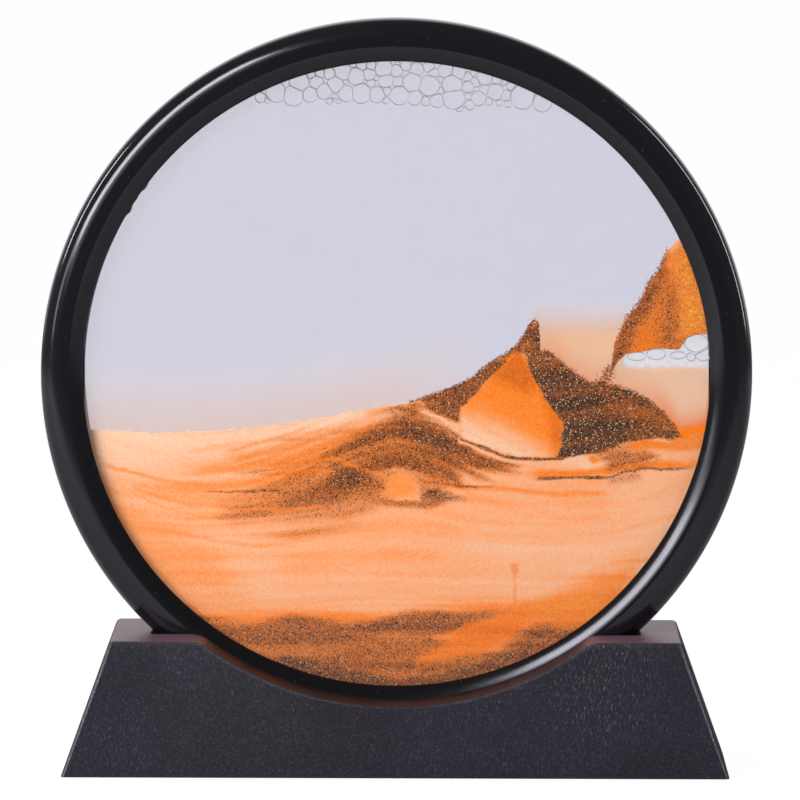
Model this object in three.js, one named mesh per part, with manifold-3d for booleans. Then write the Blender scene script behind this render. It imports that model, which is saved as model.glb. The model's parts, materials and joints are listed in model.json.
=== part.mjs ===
// Moving sand art frame: a sealed round cell of liquid, sand and air between two glass panes,
// held by a two-piece ring frame that stands and turns in the slot of a moulded base.
// Millimetres, +Z up, front towards -Y, origin on the table under the middle of the base.

import * as THREE from "three";
import { mergeVertices } from "three/addons/utils/BufferGeometryUtils.js";
import Module from "manifold-3d";

const wasm = await Module();
wasm.setup();

// Sealed cell: radii run outwards from the sight edge, depths outwards from the middle plane
const sightRadius = 78.3;
const cellGap = 4;
const paneThickness = 2;
const spacerCover = 1.5;
const spacerWidth = 3.8;
const sealThickness = 0.4;
const sealInset = 0.4;
const paneMargin = 1.4;
const plugRadius = 0.9;
const plugHeadRadius = 1.5;
const plugHeadHeight = 0.9;
const plugGap = 0.1;
const fillGap = 0.3;

// Ring frame: two bezels, joined by a tongue with a snap bead that runs all the way round
const cushionThickness = 0.5;
const cushionInset = 0.8;
const lipThickness = 2.5;
const lipEdgeRound = 0.3;
const bevelDrop = 1.7;
const crownLand = 0.6;
const shoulderWidth = 6.3;
const shoulderPower = 2.4;
const paneEdgeGap = 0.3;
const tongueWall = 1;
const tongueReach = 3.2;
const tongueLead = 0.6;
const snapGap = 0.2;
const beadRise = 0.4;
const beadFlat = 0.3;
const rimWall = 2.5;
const seamGap = 0.2;
const seamChamfer = 0.3;

// Base: moulded shell with sloped ends, a slot for the frame and a scalloped edge before it
const deckHeight = 34.7;
const slotFloor = 10.4;
const seatGap = 0.3;
const slotSideGap = 0.4;
const ledgeDepth = 14.6;
const endShelf = 9.8;
const endRake = 12.2;
const saddleCover = 7.8;
const scallopShoulder = 8;
const deckCorner = 1.8;
const innerCorner = 0.8;
const edgeRound = 1.2;
const baseWall = 2.2;
const ribThickness = 1.6;
const ribPitch = 22;
const ribLift = 0.8;

// Underside: plate, screws and foot pads
const baseLift = 0.6;
const plateThickness = 2.4;
const plateGap = 0.3;
const bossRadius = 3.2;
const bossInset = 12.5;
const screwRadius = 1.2;
const screwReach = 9;
const screwHeadRadius = 2.4;
const screwHeadHeight = 1.2;
const screwGap = 0.2;
const driveWidth = 0.7;
const driveLength = 2.8;
const driveDepth = 0.6;
const padRadius = 5;
const padRecess = 0.8;
const padGlue = 0.1;
const padInset = 9;
const padSideInset = 9;

// Fill: the line of each sand body, left to right, as [distance in from the right-hand wall of
// the cell, height above the middle of the cell]
const duneTop = [
  [141.8, -15.2], [114.3, -13.8], [84.8, -9.1], [71.8, -9.5], [64.8, -14.3], [54.1, -20.9],
  [41.5, -23.1], [27.8, -21.8], [11.8, -19],
];
const peakTop = [
  [81.8, -9.4], [74.9, -6.8], [68.6, -4.5], [62.4, -2], [58.2, 1.3], [49.9, 7.1], [46.8, 10.8],
  [45.3, 12.5], [44.2, 9.6], [43, 5.6], [36.9, 1.3], [28.6, -3.6], [21, -4.1], [13.2, -8.4],
  [9.6, -12.3], [6.8, -18],
];
const heapTop = [
  [26.4, 0.5], [25.4, 6.9], [23, 12.9], [19, 18.1], [14.3, 26], [12.3, 31], [9.8, 33.5], [5.2, 29],
];
const heapFoot = [
  [22.3, 5.2], [18, 5.8], [14.3, 6.6], [9.2, 6.2], [7.2, 9.2], [4.4, 10.2],
];

// Trapped bubbles under the heap: distance in from the wall, height, radius
const trappedBubbles = [
  [20.1, 3.5, 1.9], [16.9, 3.8, 2], [13.5, 4.1, 2.2], [10, 3.8, 2], [6.6, 3.9, 2.1], [3.4, 4.2, 2.1],
  [4.2, 7.2, 2.1],
];

// Floating foam: rows of bubbles, the lowest row this far below the top of the cell
const foamDepth = 9.8;
const foamRows = 3;
const foamPitch = 4.8;
const foamRowRise = 3.7;
const foamBubble = 2.9;
const foamVary = 0.14;
const foamJitter = 0.4;
const filmThickness = 0.4;

// Fineness of round forms
const ringSteps = 64;
const smallSteps = 12;
const bubbleSteps = 12;
const shoulderSteps = 5;
const scallopSteps = 20;
const filletSteps = 5;
const curveSteps = 30;

// Sizes that follow from the ones above
const cellRadius = sightRadius + spacerCover;
const spacerOuter = cellRadius + spacerWidth;
const paneRadius = spacerOuter + paneMargin;
const pocketRadius = paneRadius + paneEdgeGap;
const tongueRadius = pocketRadius + tongueWall;
const rimInner = tongueRadius + snapGap;
const frameRadius = rimInner + rimWall;
const paneFace = cellGap / 2 + paneThickness;
const lipBack = paneFace + cushionThickness;
const frameHalf = lipBack + lipThickness;
const frameCentre = slotFloor + seatGap + frameRadius;
const fillRadius = cellRadius - fillGap;
const fillDepth = cellGap - 2 * fillGap;
const foamLevel = cellRadius - foamDepth;
const slotRadius = frameRadius + seatGap;
const slotWidth = 2 * (frameHalf + slotSideGap);
const slotHalfLength = Math.sqrt(slotRadius ** 2 - (frameCentre - deckHeight) ** 2);
const baseDepth = slotWidth + 2 * ledgeDepth;
const deckHalf = slotHalfLength + endShelf;
const scallopRadius = frameRadius - saddleCover;
const plateTop = baseLift + plateThickness;
const bossX = deckHalf - bossInset;
const bossY = (slotWidth / 2 + baseDepth / 2) / 2;

// Materials
function finish(color, roughness, extra = {}) {
  return new THREE.MeshStandardMaterial({ color, roughness, metalness: 0, ...extra });
}
const glossBlack = finish(0x18181a, 0.12);
const charcoal = finish(0x2d2e34, 0.5);
const softBlack = finish(0x1c1c1c, 0.9);
const clearGlass = finish(0xe8eef0, 0.03, { transparent: true, opacity: 0.2 });
const paleLiquid = finish(0xd0cfdc, 0.1, { transparent: true, opacity: 0.5 });
const paleSand = finish(0xf7b98c, 0.95);
const darkSand = finish(0x5a3220, 0.95);
const orangeSand = finish(0xf09a35, 0.95);
const bubbleFilm = finish(0xb8aeb2, 0.1, { transparent: true, opacity: 0.6 });
const steel = finish(0x8d9094, 0.35, { metalness: 1 });

// Solids: a closed mesh becomes a solid that can be joined and cut, and back again
function toSolid(geometry) {
  geometry.deleteAttribute("normal");
  geometry.deleteAttribute("uv");
  const merged = mergeVertices(geometry, 1e-4);
  const vertProperties = Float32Array.from(merged.attributes.position.array);
  const triVerts = Uint32Array.from(merged.index.array);
  return new wasm.Manifold(new wasm.Mesh({ numProp: 3, vertProperties, triVerts }));
}

function toGeometry(solid) {
  const mesh = solid.getMesh();
  const geometry = new THREE.BufferGeometry();
  geometry.setAttribute("position", new THREE.BufferAttribute(mesh.vertProperties, 3));
  geometry.setIndex(new THREE.BufferAttribute(mesh.triVerts, 1));
  geometry.computeVertexNormals();
  return geometry;
}

function joined(solids) {
  return solids.reduce((whole, solid) => whole.add(solid));
}

function without(solid, cutters) {
  return cutters.reduce((rest, cutter) => rest.subtract(cutter), solid);
}

// A closed profile of [radius, depth] points turned round the Y axis
function revolve(profile) {
  const loop = [...profile, profile[0]].map(([r, y]) => new THREE.Vector2(r, y));
  const clockwise = THREE.ShapeUtils.area(loop) < 0;
  return new THREE.LatheGeometry(clockwise ? loop.reverse() : loop, ringSteps);
}

function flatRing(inner, outer, low, high) {
  return revolve([[inner, low], [outer, low], [outer, high], [inner, high]]);
}

function disc(radius, depth, steps = ringSteps) {
  return new THREE.CylinderGeometry(radius, radius, depth, steps);
}

// An upright rod of round section from one height to another
function rod(radius, low, high, x, y) {
  const geometry = new THREE.CylinderGeometry(radius, radius, high - low, smallSteps);
  geometry.rotateX(Math.PI / 2);
  return geometry.translate(x, y, (low + high) / 2);
}

// A front-view outline of [x, z] points given depth along Y, with rounded front and back edges
function slab(outline, depth, round = 0) {
  const shape = new THREE.Shape(outline.map(([x, z]) => new THREE.Vector2(x, z)));
  const geometry = new THREE.ExtrudeGeometry(shape, {
    depth: depth - 2 * round,
    bevelEnabled: round > 0,
    bevelThickness: round,
    bevelSize: round,
    bevelOffset: -round,
    bevelSegments: 3,
  });
  geometry.translate(0, 0, round - depth / 2);
  return geometry.rotateX(Math.PI / 2);
}

function box(width, depth, height, x, y, low) {
  return new THREE.BoxGeometry(width, depth, height).translate(x, y, low + height / 2);
}

function arc(x, z, radius, from, to, steps) {
  return Array.from({ length: steps + 1 }, (_, i) => {
    const angle = from + ((to - from) * i) / steps;
    return [x + radius * Math.cos(angle), z + radius * Math.sin(angle)];
  });
}

function circle(x, z, radius) {
  return arc(x, z, radius, 0, 2 * Math.PI, bubbleSteps).slice(1);
}

// The corner of an outline, rounded over a stretch of each side
function softCorner(before, corner, after, stretch) {
  const point = new THREE.Vector2(...corner);
  const start = new THREE.Vector2(...before).sub(point).setLength(stretch).add(point);
  const end = new THREE.Vector2(...after).sub(point).setLength(stretch).add(point);
  return new THREE.QuadraticBezierCurve(start, point, end).getPoints(3).map((p) => [p.x, p.y]);
}

function smooth(points, steps = curveSteps) {
  const curve = new THREE.SplineCurve(points.map(([x, z]) => new THREE.Vector2(x, z)));
  return curve.getSpacedPoints(steps).map((p) => [p.x, p.y]);
}

const sandFrame = new THREE.Group();
const ring = new THREE.Group();
ring.position.z = frameCentre;
sandFrame.add(ring);

function piece(parent, name, geometry, material) {
  const mesh = new THREE.Mesh(geometry, material);
  mesh.name = name;
  parent.add(mesh);
}

// Bezels: shared outer skin from the seam over the shoulder and crown to the lip's edge
function bezelSkin() {
  const crownRadius = frameRadius - shoulderWidth;
  const seam = seamGap / 2;
  const shoulder = Array.from({ length: shoulderSteps }, (_, i) => {
    const angle = ((i + 1) / shoulderSteps) * (Math.PI / 2);
    const across = Math.cos(angle) ** (2 / shoulderPower);
    const deep = Math.sin(angle) ** (2 / shoulderPower);
    return [crownRadius + shoulderWidth * across, frameHalf * deep];
  });
  return [
    [frameRadius - seamChamfer, seam],
    [frameRadius, seam + seamChamfer],
    ...shoulder,
    [crownRadius - crownLand, frameHalf],
    [sightRadius + lipEdgeRound, frameHalf - bevelDrop],
    [sightRadius, frameHalf - bevelDrop - lipEdgeRound],
    [sightRadius, lipBack],
  ];
}

const beadStart = tongueReach - tongueLead - 2 * beadRise - beadFlat;
const grooveStart = beadStart - snapGap;
const grooveFlat = beadFlat + 2 * snapGap;

const frontBezel = [
  ...bezelSkin(),
  [rimInner, lipBack],
  [rimInner, grooveStart + 2 * beadRise + grooveFlat],
  [rimInner + beadRise, grooveStart + beadRise + grooveFlat],
  [rimInner + beadRise, grooveStart + beadRise],
  [rimInner, grooveStart],
  [rimInner, seamGap / 2],
];
piece(ring, "front_bezel", revolve(frontBezel.map(([r, d]) => [r, -d])), glossBlack);

const rearBezel = [
  ...bezelSkin(),
  [pocketRadius, lipBack],
  [pocketRadius, -tongueReach],
  [tongueRadius - tongueLead / 2, -tongueReach],
  [tongueRadius, -(tongueReach - tongueLead)],
  [tongueRadius + beadRise, -(beadStart + beadRise + beadFlat)],
  [tongueRadius + beadRise, -(beadStart + beadRise)],
  [tongueRadius, -beadStart],
  [tongueRadius, seamGap / 2],
];
piece(ring, "rear_bezel", revolve(rearBezel), glossBlack);

// Glass stack: cushion, pane, seal, spacer, seal, pane, cushion
const sealFace = cellGap / 2 - sealThickness;
for (const [side, sign] of [["front", -1], ["rear", 1]]) {
  const pane = disc(paneRadius, paneThickness).translate(0, (sign * (cellGap / 2 + paneFace)) / 2, 0);
  piece(ring, `${side}_pane`, pane, clearGlass);
  const cushionEdge = [sightRadius + cushionInset, paneRadius - cushionInset];
  piece(ring, `${side}_cushion`, flatRing(...cushionEdge, sign * paneFace, sign * lipBack), softBlack);
  const sealEdge = [cellRadius + sealInset, spacerOuter - sealInset];
  piece(ring, `${side}_seal`, flatRing(...sealEdge, sign * sealFace, (sign * cellGap) / 2), softBlack);
}

const port = rod(plugRadius + plugGap, cellRadius - plugRadius, spacerOuter + plugRadius, 0, 0);
const spacer = flatRing(cellRadius, spacerOuter, -sealFace, sealFace);
piece(ring, "cell_spacer", toGeometry(toSolid(spacer).subtract(toSolid(port))), softBlack);

const plugStem = rod(plugRadius, cellRadius + plugGap, spacerOuter + plugHeadHeight / 2, 0, 0);
const plugHead = rod(plugHeadRadius, spacerOuter + plugGap, spacerOuter + plugGap + plugHeadHeight, 0, 0);
piece(ring, "filler_plug", toGeometry(toSolid(plugStem).add(toSolid(plugHead))), softBlack);

// Bubbles: overlapping discs that share a flat film where they meet
function clipped(outline, nx, nz, limit) {
  const kept = [];
  outline.forEach((here, i) => {
    const next = outline[(i + 1) % outline.length];
    const a = here[0] * nx + here[1] * nz - limit;
    const b = next[0] * nx + next[1] * nz - limit;
    if (a <= 0) kept.push(here);
    if (a * b < 0) {
      const t = a / (a - b);
      kept.push([here[0] + t * (next[0] - here[0]), here[1] + t * (next[1] - here[1])]);
    }
  });
  return kept;
}

function bubbleAir([x, z, radius], bubbles) {
  let outline = circle(x, z, radius - filmThickness);
  for (const [otherX, otherZ, otherRadius] of bubbles) {
    const gap = Math.hypot(otherX - x, otherZ - z);
    if (gap === 0) continue;
    const nx = (otherX - x) / gap;
    const nz = (otherZ - z) / gap;
    const toFilm = (gap ** 2 + radius ** 2 - otherRadius ** 2) / (2 * gap);
    outline = clipped(outline, nx, nz, nx * x + nz * z + toFilm - filmThickness / 2);
  }
  return outline;
}

function bubbleWalls(bubbles) {
  const hulls = bubbles.map(([x, z, radius]) => toSolid(slab(circle(x, z, radius), cellGap)));
  const airs = bubbles.map((bubble) => bubbleAir(bubble, bubbles));
  const air = joined(airs.map((outline) => toSolid(slab(outline, 2 * cellGap))));
  const cell = toSolid(disc(fillRadius, fillDepth));
  const openCell = toSolid(disc(fillRadius - filmThickness, 2 * cellGap));
  return joined(hulls).intersect(cell).subtract(air.intersect(openCell));
}

function scatter(i, row, seed) {
  const wave = Math.sin(12.99 * i + 78.23 * row + 37.7 * seed) * 437.58;
  return 2 * (wave - Math.floor(wave)) - 1;
}

function foamBubbles() {
  const bubbles = [];
  for (let row = 0; row < foamRows; row += 1) {
    const height = foamLevel + row * foamRowRise;
    const reach = Math.ceil(fillRadius / foamPitch);
    for (let i = -reach; i <= reach; i += 1) {
      const x = (i + (row % 2) / 2) * foamPitch + foamJitter * scatter(i, row, 1);
      const z = height + foamJitter * scatter(i, row, 2);
      const radius = foamBubble * (1 + foamVary * scatter(i, row, 3));
      if (Math.hypot(x, z) < fillRadius - radius / 2) bubbles.push([x, z, radius]);
    }
  }
  return bubbles;
}

const fromWall = ([inward, ...rest]) => [cellRadius - inward, ...rest];
const trapped = trappedBubbles.map(fromWall);
piece(ring, "bubble_foam", toGeometry(bubbleWalls(foamBubbles())), bubbleFilm);
piece(ring, "trapped_bubbles", toGeometry(bubbleWalls(trapped)), bubbleFilm);

// Sand and liquid: each body fills the cell from pane to pane, inside its own outline
const beyond = 2 * cellRadius;
const fill = toSolid(disc(fillRadius, fillDepth));

function block(outline) {
  return toSolid(slab(outline, 2 * cellGap));
}

function grown(solid, gap) {
  const shifts = [[gap, 0], [-gap, 0], [0, gap], [0, -gap]];
  return joined([solid, ...shifts.map(([x, z]) => solid.translate([x, 0, z]))]);
}

const duneLine = smooth(duneTop.map(fromWall));
const duneLeft = [[-beyond, -beyond], [-beyond, duneLine[0][1]]];
const duneRight = [[beyond, duneLine.at(-1)[1]], [beyond, -beyond]];
const dune = block([...duneLeft, ...duneLine, ...duneRight]);
const duneRoom = grown(dune, fillGap);
piece(ring, "dune_sand", toGeometry(fill.intersect(dune)), paleSand);

const peakLine = smooth(peakTop.map(fromWall));
const peak = block([[peakLine[0][0], -beyond], ...peakLine, [peakLine.at(-1)[0], -beyond]]);
piece(ring, "peak_sand", toGeometry(fill.intersect(peak).subtract(duneRoom)), darkSand);

const heapLine = smooth(heapTop.map(fromWall));
const footLine = smooth(heapFoot.map(fromWall)).reverse();
const heapWall = [beyond, heapLine.at(-1)[1]];
const heap = block([...heapLine, heapWall, [beyond, footLine[0][1]], ...footLine]);
const bubbleRoom = trapped.map(([x, z, r]) => block(circle(x, z, r + fillGap)));
piece(ring, "hanging_sand", toGeometry(without(fill.intersect(heap), bubbleRoom)), orangeSand);

const bubbleFloor = Math.min(...trapped.map(([, z, r]) => z - r));
const pocketFloor = [[beyond, bubbleFloor], [trapped[0][0] - trapped[0][2], bubbleFloor]];
const pocketRoom = grown(block([...heapLine, heapWall, ...pocketFloor]), fillGap);
const foamFloor = foamLevel - foamBubble * (1 + foamVary) - foamJitter - fillGap;
const foamRoom = toSolid(box(2 * beyond, 2 * cellGap, beyond, 0, 0, foamFloor));
const liquid = without(fill, [duneRoom, grown(peak, fillGap), pocketRoom, foamRoom]);
piece(ring, "liquid", toGeometry(liquid), paleLiquid);

// Base shell: outline seen from the front, drawn in from the outer faces by an inset
const rake = endRake / (deckHeight - baseLift);
function baseHalfWidth(height, inset) {
  return deckHalf + rake * (deckHeight - height) - inset * Math.hypot(1, rake);
}

function baseOutline(inset, bottom, corner) {
  const deck = deckHeight - inset;
  const hollow = scallopRadius + inset;
  const round = Math.max(scallopShoulder - inset, edgeRound);
  const drop = frameCentre - deck + round;
  const shoulderX = Math.sqrt((hollow + round) ** 2 - drop ** 2);
  const lean = Math.atan2(drop, shoulderX);
  const low = baseHalfWidth(bottom, inset);
  const high = baseHalfWidth(deck, inset);
  return [
    [-low, bottom],
    [low, bottom],
    ...softCorner([low, bottom], [high, deck], [0, deck], corner),
    ...arc(shoulderX, deck - round, round, Math.PI / 2, Math.PI - lean, filletSteps),
    ...arc(0, frameCentre, hollow, -lean, lean - Math.PI, scallopSteps).slice(1, -1),
    ...arc(-shoulderX, deck - round, round, lean, Math.PI / 2, filletSteps),
    ...softCorner([0, deck], [-high, deck], [-low, bottom], corner),
  ];
}

const corners = [[-1, -1], [1, -1], [-1, 1], [1, 1]];
const cornerName = ([x, y]) => `${y < 0 ? "front" : "rear"}_${x < 0 ? "left" : "right"}`;
const outer = toSolid(slab(baseOutline(0, baseLift, deckCorner), baseDepth, edgeRound));
const slot = toSolid(disc(slotRadius, slotWidth, 2 * ringSteps).translate(0, 0, frameCentre));
const trough = disc(slotRadius + baseWall, slotWidth + 2 * baseWall, 2 * ringSteps);
trough.translate(0, 0, frameCentre);
const inside = slab(baseOutline(baseWall, baseLift - plateThickness, innerCorner), baseDepth - 2 * baseWall);
const bosses = corners.map(([x, y]) => {
  return rod(bossRadius, plateTop + plateGap, deckHeight, x * bossX, y * bossY);
});
const ribs = [-2, -1, 0, 1, 2].map((i) => {
  const low = plateTop + ribLift;
  return box(ribThickness, baseDepth, deckHeight - low, i * ribPitch, 0, low);
});
const hollow = without(toSolid(inside), [trough, ...bosses, ...ribs].map(toSolid));
const screwTip = plateTop + screwReach;
const pilots = corners.map(([x, y]) => {
  return toSolid(rod(screwRadius + screwGap, baseLift, screwTip + screwGap, x * bossX, y * bossY));
});
piece(sandFrame, "base_shell", toGeometry(without(outer, [slot, hollow, ...pilots])), charcoal);

// Base plate: sits inside the shell's walls, with seats for the screw heads and foot pads
const plateInset = baseWall + plateGap * Math.cos(Math.atan(rake));
const plateLow = baseHalfWidth(baseLift, plateInset);
const plateHigh = baseHalfWidth(plateTop, plateInset);
const plateEdge = [
  [-plateLow, baseLift], [plateLow, baseLift], [plateHigh, plateTop], [-plateHigh, plateTop],
];
const plateDepth = baseDepth - 2 * (baseWall + plateGap);
const padX = plateHigh - padInset;
const padY = plateDepth / 2 - padSideInset;
const headTop = baseLift + screwHeadHeight + screwGap;
const plateCuts = corners.flatMap(([x, y]) => [
  rod(screwRadius + screwGap, 0, plateTop + plateGap, x * bossX, y * bossY),
  rod(screwHeadRadius + screwGap, 0, headTop + screwGap, x * bossX, y * bossY),
  rod(padRadius + plateGap, 0, baseLift + padRecess, x * padX, y * padY),
]);
const plate = without(toSolid(slab(plateEdge, plateDepth)), plateCuts.map(toSolid));
piece(sandFrame, "base_plate", toGeometry(plate), charcoal);

for (const corner of corners) {
  const [x, y] = [corner[0] * bossX, corner[1] * bossY];
  const head = rod(screwHeadRadius, headTop - screwHeadHeight, headTop, x, y);
  const shank = rod(screwRadius, headTop - screwGap, screwTip, x, y);
  const driveLow = headTop - screwHeadHeight - driveDepth;
  const drive = [
    box(driveLength, driveWidth, 2 * driveDepth, x, y, driveLow),
    box(driveWidth, driveLength, 2 * driveDepth, x, y, driveLow),
  ];
  const screw = without(toSolid(head).add(toSolid(shank)), drive.map(toSolid));
  piece(sandFrame, `plate_screw_${cornerName(corner)}`, toGeometry(screw), steel);
}

for (const corner of corners) {
  const pad = rod(padRadius, 0, baseLift + padRecess - padGlue, corner[0] * padX, corner[1] * padY);
  piece(sandFrame, `foot_pad_${cornerName(corner)}`, pad, softBlack);
}

export default sandFrame;
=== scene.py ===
"""Looks of the moving sand art frame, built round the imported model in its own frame.

The sections follow the object as it is put together: the glass cell and what fills it,
the ring frame that holds the cell, the base that carries the ring, then the studio.
"""
import json
import math

import bmesh
import bpy
import numpy as np
from mathutils import Matrix


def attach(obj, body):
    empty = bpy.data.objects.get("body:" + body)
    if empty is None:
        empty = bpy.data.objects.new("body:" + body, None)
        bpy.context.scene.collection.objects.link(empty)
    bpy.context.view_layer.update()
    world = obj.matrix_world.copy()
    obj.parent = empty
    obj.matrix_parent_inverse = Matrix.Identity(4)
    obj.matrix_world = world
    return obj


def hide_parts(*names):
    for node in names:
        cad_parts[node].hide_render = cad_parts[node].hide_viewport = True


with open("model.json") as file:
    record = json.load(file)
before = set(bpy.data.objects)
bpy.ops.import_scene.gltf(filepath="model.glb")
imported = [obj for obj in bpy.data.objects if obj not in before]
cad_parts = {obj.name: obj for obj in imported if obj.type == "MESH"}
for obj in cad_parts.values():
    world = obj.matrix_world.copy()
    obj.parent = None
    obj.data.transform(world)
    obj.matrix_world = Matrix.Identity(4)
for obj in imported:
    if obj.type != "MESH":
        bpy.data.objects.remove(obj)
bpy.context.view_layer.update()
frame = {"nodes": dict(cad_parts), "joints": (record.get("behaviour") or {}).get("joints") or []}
nodes = frame["nodes"]
MM = 0.001

# Glass panes: two round panes of clear float glass, bonded to the spacer on both sides of the cell.
# Their CAD solids are right as they are, so they only get the glass finish with faint wiping marks.


class Wire:
    """A value, colour or shader on its way through a finish's nodes; sums on it add Math nodes."""

    def __init__(self, owner, socket=None):
        self.owner = owner
        self.socket = socket

    def node(self, kind, settings=None, sockets=None, out=0):
        """Adds one node, its settings first, then values or wires on its sockets; gives one output."""
        made = self.owner.node_tree.nodes.new("ShaderNode" + kind)
        for name, value in (settings or {}).items():
            if name == "stops":
                ramp = made.color_ramp.elements
                ramp[0].position, ramp[1].position = value[0][0], value[-1][0]
                for place, _ in value[1:-1]:
                    ramp.new(place)
                for element, (_, colour) in zip(ramp, value):
                    element.color = colour
            elif name == "steps":
                made.color_ramp.interpolation = value
            else:
                setattr(made, name, value)
        for name, value in (sockets or {}).items():
            if isinstance(value, Wire):
                self.owner.node_tree.links.new(value.socket, made.inputs[name])
            else:
                made.inputs[name].default_value = value
        return Wire(self.owner, made.outputs[out] if made.outputs else None)

    def math(self, operation, first, second):
        """A Math node on two values, each a wire or a number."""
        return self.node("Math", {"operation": operation}, {0: first, 1: second})

    def __add__(self, other):
        return self.math("ADD", self, other)

    def __sub__(self, other):
        return self.math("SUBTRACT", self, other)

    def __rsub__(self, other):
        return self.math("SUBTRACT", other, self)

    def __mul__(self, other):
        return self.math("MULTIPLY", self, other)

    __radd__ = __add__
    __rmul__ = __mul__

    def __pow__(self, power):
        return self.math("POWER", self, power)

    def mix(self, low, high):
        """The colour between low and high that this value, from 0 to 1, names."""
        return self.node("Mix", {"data_type": "RGBA"}, {0: self, 6: low, 7: high}, out=2)

    def between(self, low, high):
        """0 where this value is at low, 1 at high, eased between them."""
        return self.node("MapRange", {"interpolation_type": "SMOOTHSTEP"},
                         {"Value": self, "From Min": low, "From Max": high})

    def axis(self, name):
        """One coordinate, X, Y or Z, of this vector."""
        return self.node("SeparateXYZ", {}, {"Vector": self}, out=name)

    def noise(self, scale, detail=2.0, roughness=0.5):
        """Cloudy noise from 0 to 1 at this place, with scale lumps to the metre."""
        return self.node("TexNoise", {}, {
            "Vector": self, "Scale": scale, "Detail": detail, "Roughness": roughness})

    def relief(self, strength, depth):
        """The normal of a surface that has this value as its height, depth metres deep."""
        return self.node("Bump", {}, {"Strength": strength, "Distance": depth, "Height": self}, out="Normal")

    def share(self, name):
        """The number of that name which each point of a piece carries."""
        return self.node("Attribute", {"attribute_name": name}, out="Fac")


def start_finish(name):
    """An empty node material, as the first wire of its finish."""
    material = bpy.data.materials.new(name)
    material.use_nodes = True
    material.node_tree.nodes.clear()
    return Wire(material)


def lay_finish(shader, *pieces):
    """Ends a finish in its shader and gives it to the pieces."""
    shader.node("OutputMaterial", {}, {"Surface": shader})
    for piece in pieces:
        if not piece.material_slots:
            piece.data.materials.append(shader.owner)
        for place in piece.material_slots:
            place.material = shader.owner


# Only the dry outer faces mirror the room. These depths in mm part them from the faces in the liquid.
WET_DEPTH, DRY_DEPTH = 2.4, 3.2
glass = start_finish("float_glass")
place = glass.node("TexCoord", out="Object")
wiping = place.noise(45.0, 3.0)
depth = place.axis("Y")
dry = (depth * depth).between((WET_DEPTH * MM) ** 2, (DRY_DEPTH * MM) ** 2)
grazing = glass.node("LayerWeight", {}, {"Blend": 0.5}, out="Facing") ** 5.0
mirror = (grazing * 0.8 + wiping.between(0.52, 0.75) * 0.006 + 0.03) * dry
clear = glass.node("BsdfTransparent", {}, {"Color": (0.995, 0.998, 0.996, 1)})
gloss = glass.node("BsdfGlossy", {}, {"Color": (1, 1, 1, 1), "Roughness": 0.02})
pane = glass.node("MixShader", {}, {0: mirror, 1: clear, 2: gloss})
lay_finish(pane, nodes["front_pane"], nodes["rear_pane"])

# Cell spacer and filler plug: the black plastic ring that keeps the panes apart, and the soft rubber
# plug pressed into its filling hole. Both keep their CAD solids and get a moulded satin finish.


def shade(red, green, blue):
    """A display colour of 0 to 255 per channel, as linear light."""
    part = np.array([red, green, blue]) / 255
    light = np.where(part <= 0.04045, part / 12.92, ((part + 0.055) / 1.055) ** 2.4)
    return (*light.tolist(), 1.0)


def moulded_finish(name, colour, lighter, roughness, grain, *pieces):
    """Moulded plastic or rubber: colour drifting to lighter in clouds, with a fine grain in gloss and relief
    that has grain lumps to the metre."""
    plastic = start_finish(name)
    place = plastic.node("TexCoord", out="Object")
    clouds = place.noise(90.0, 4.0)
    fine = place.noise(grain)
    lay_finish(plastic.node("BsdfPrincipled", {}, {
        "Base Color": clouds.between(0.3, 0.75).mix(colour, lighter),
        "Roughness": fine * 0.2 + (roughness - 0.1),
        "Normal": fine.relief(0.15, 0.1 * MM),
    }), *pieces)


moulded_finish("spacer_plastic", shade(24, 24, 25), shade(34, 33, 34), 0.4, 1800.0, nodes["cell_spacer"])
moulded_finish("plug_rubber", shade(36, 35, 35), shade(50, 48, 47), 0.7, 1500.0, nodes["filler_plug"])

# Sealing beads: black sealant run by hand between the panes and the spacer, front and rear.
# Each is a flat ring whose inner edge wavers and creeps a little into view at the upper left.


def grid_faces(rows, columns, wrap):
    """The faces over a grid of points, four neighbours each; wrap closes the rows' and the columns' ends."""
    row = np.arange(rows if wrap[0] else rows - 1)[:, None]
    column = np.arange(columns if wrap[1] else columns - 1)[None, :]
    next_row, next_column = (row + 1) % rows, (column + 1) % columns
    corners = np.broadcast_arrays(row * columns + column, row * columns + next_column,
                                  next_row * columns + next_column, next_row * columns + column)
    return np.stack(corners, -1).reshape(-1, 4)


def give_share(mesh, name, share):
    """Keeps one number a point with a mesh, under the name by which its finish reads it."""
    values = np.asarray(share, np.float32).ravel()
    mesh.attributes.new(name, "FLOAT", "POINT").data.foreach_set("value", values)


def faced_piece(name, points, faces, sharp=40.0, shares=None):
    """A piece from points in metres and faces: doubles merged, faces turned outwards, smooth up to the sharp
    angle. shares are its numbers by name, one a point."""
    mesh = bpy.data.meshes.new(name)
    mesh.from_pydata(points.tolist(), [], faces)
    for label, share in (shares or {}).items():
        give_share(mesh, label, share)
    shaped = bmesh.new()
    shaped.from_mesh(mesh)
    bmesh.ops.remove_doubles(shaped, verts=shaped.verts, dist=1e-7)
    bmesh.ops.recalc_face_normals(shaped, faces=shaped.faces)
    shaped.to_mesh(mesh)
    shaped.free()
    mesh.shade_smooth()
    mesh.set_sharp_from_angle(angle=math.radians(sharp))
    piece = bpy.data.objects.new(name, mesh)
    bpy.context.scene.collection.objects.link(piece)
    return piece


def grid_piece(name, points, wrap=(False, False), caps=False, sharp=40.0, shares=None):
    """A piece skinned over a grid of points in metres; caps fills the first and last row with one face."""
    rows, columns = points.shape[:2]
    faces = grid_faces(rows, columns, wrap).tolist()
    if caps:
        faces += [list(range(columns)), list(range((rows - 1) * columns, rows * columns))]
    return faced_piece(name, points.reshape(-1, 3), faces, sharp, shares)


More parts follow.
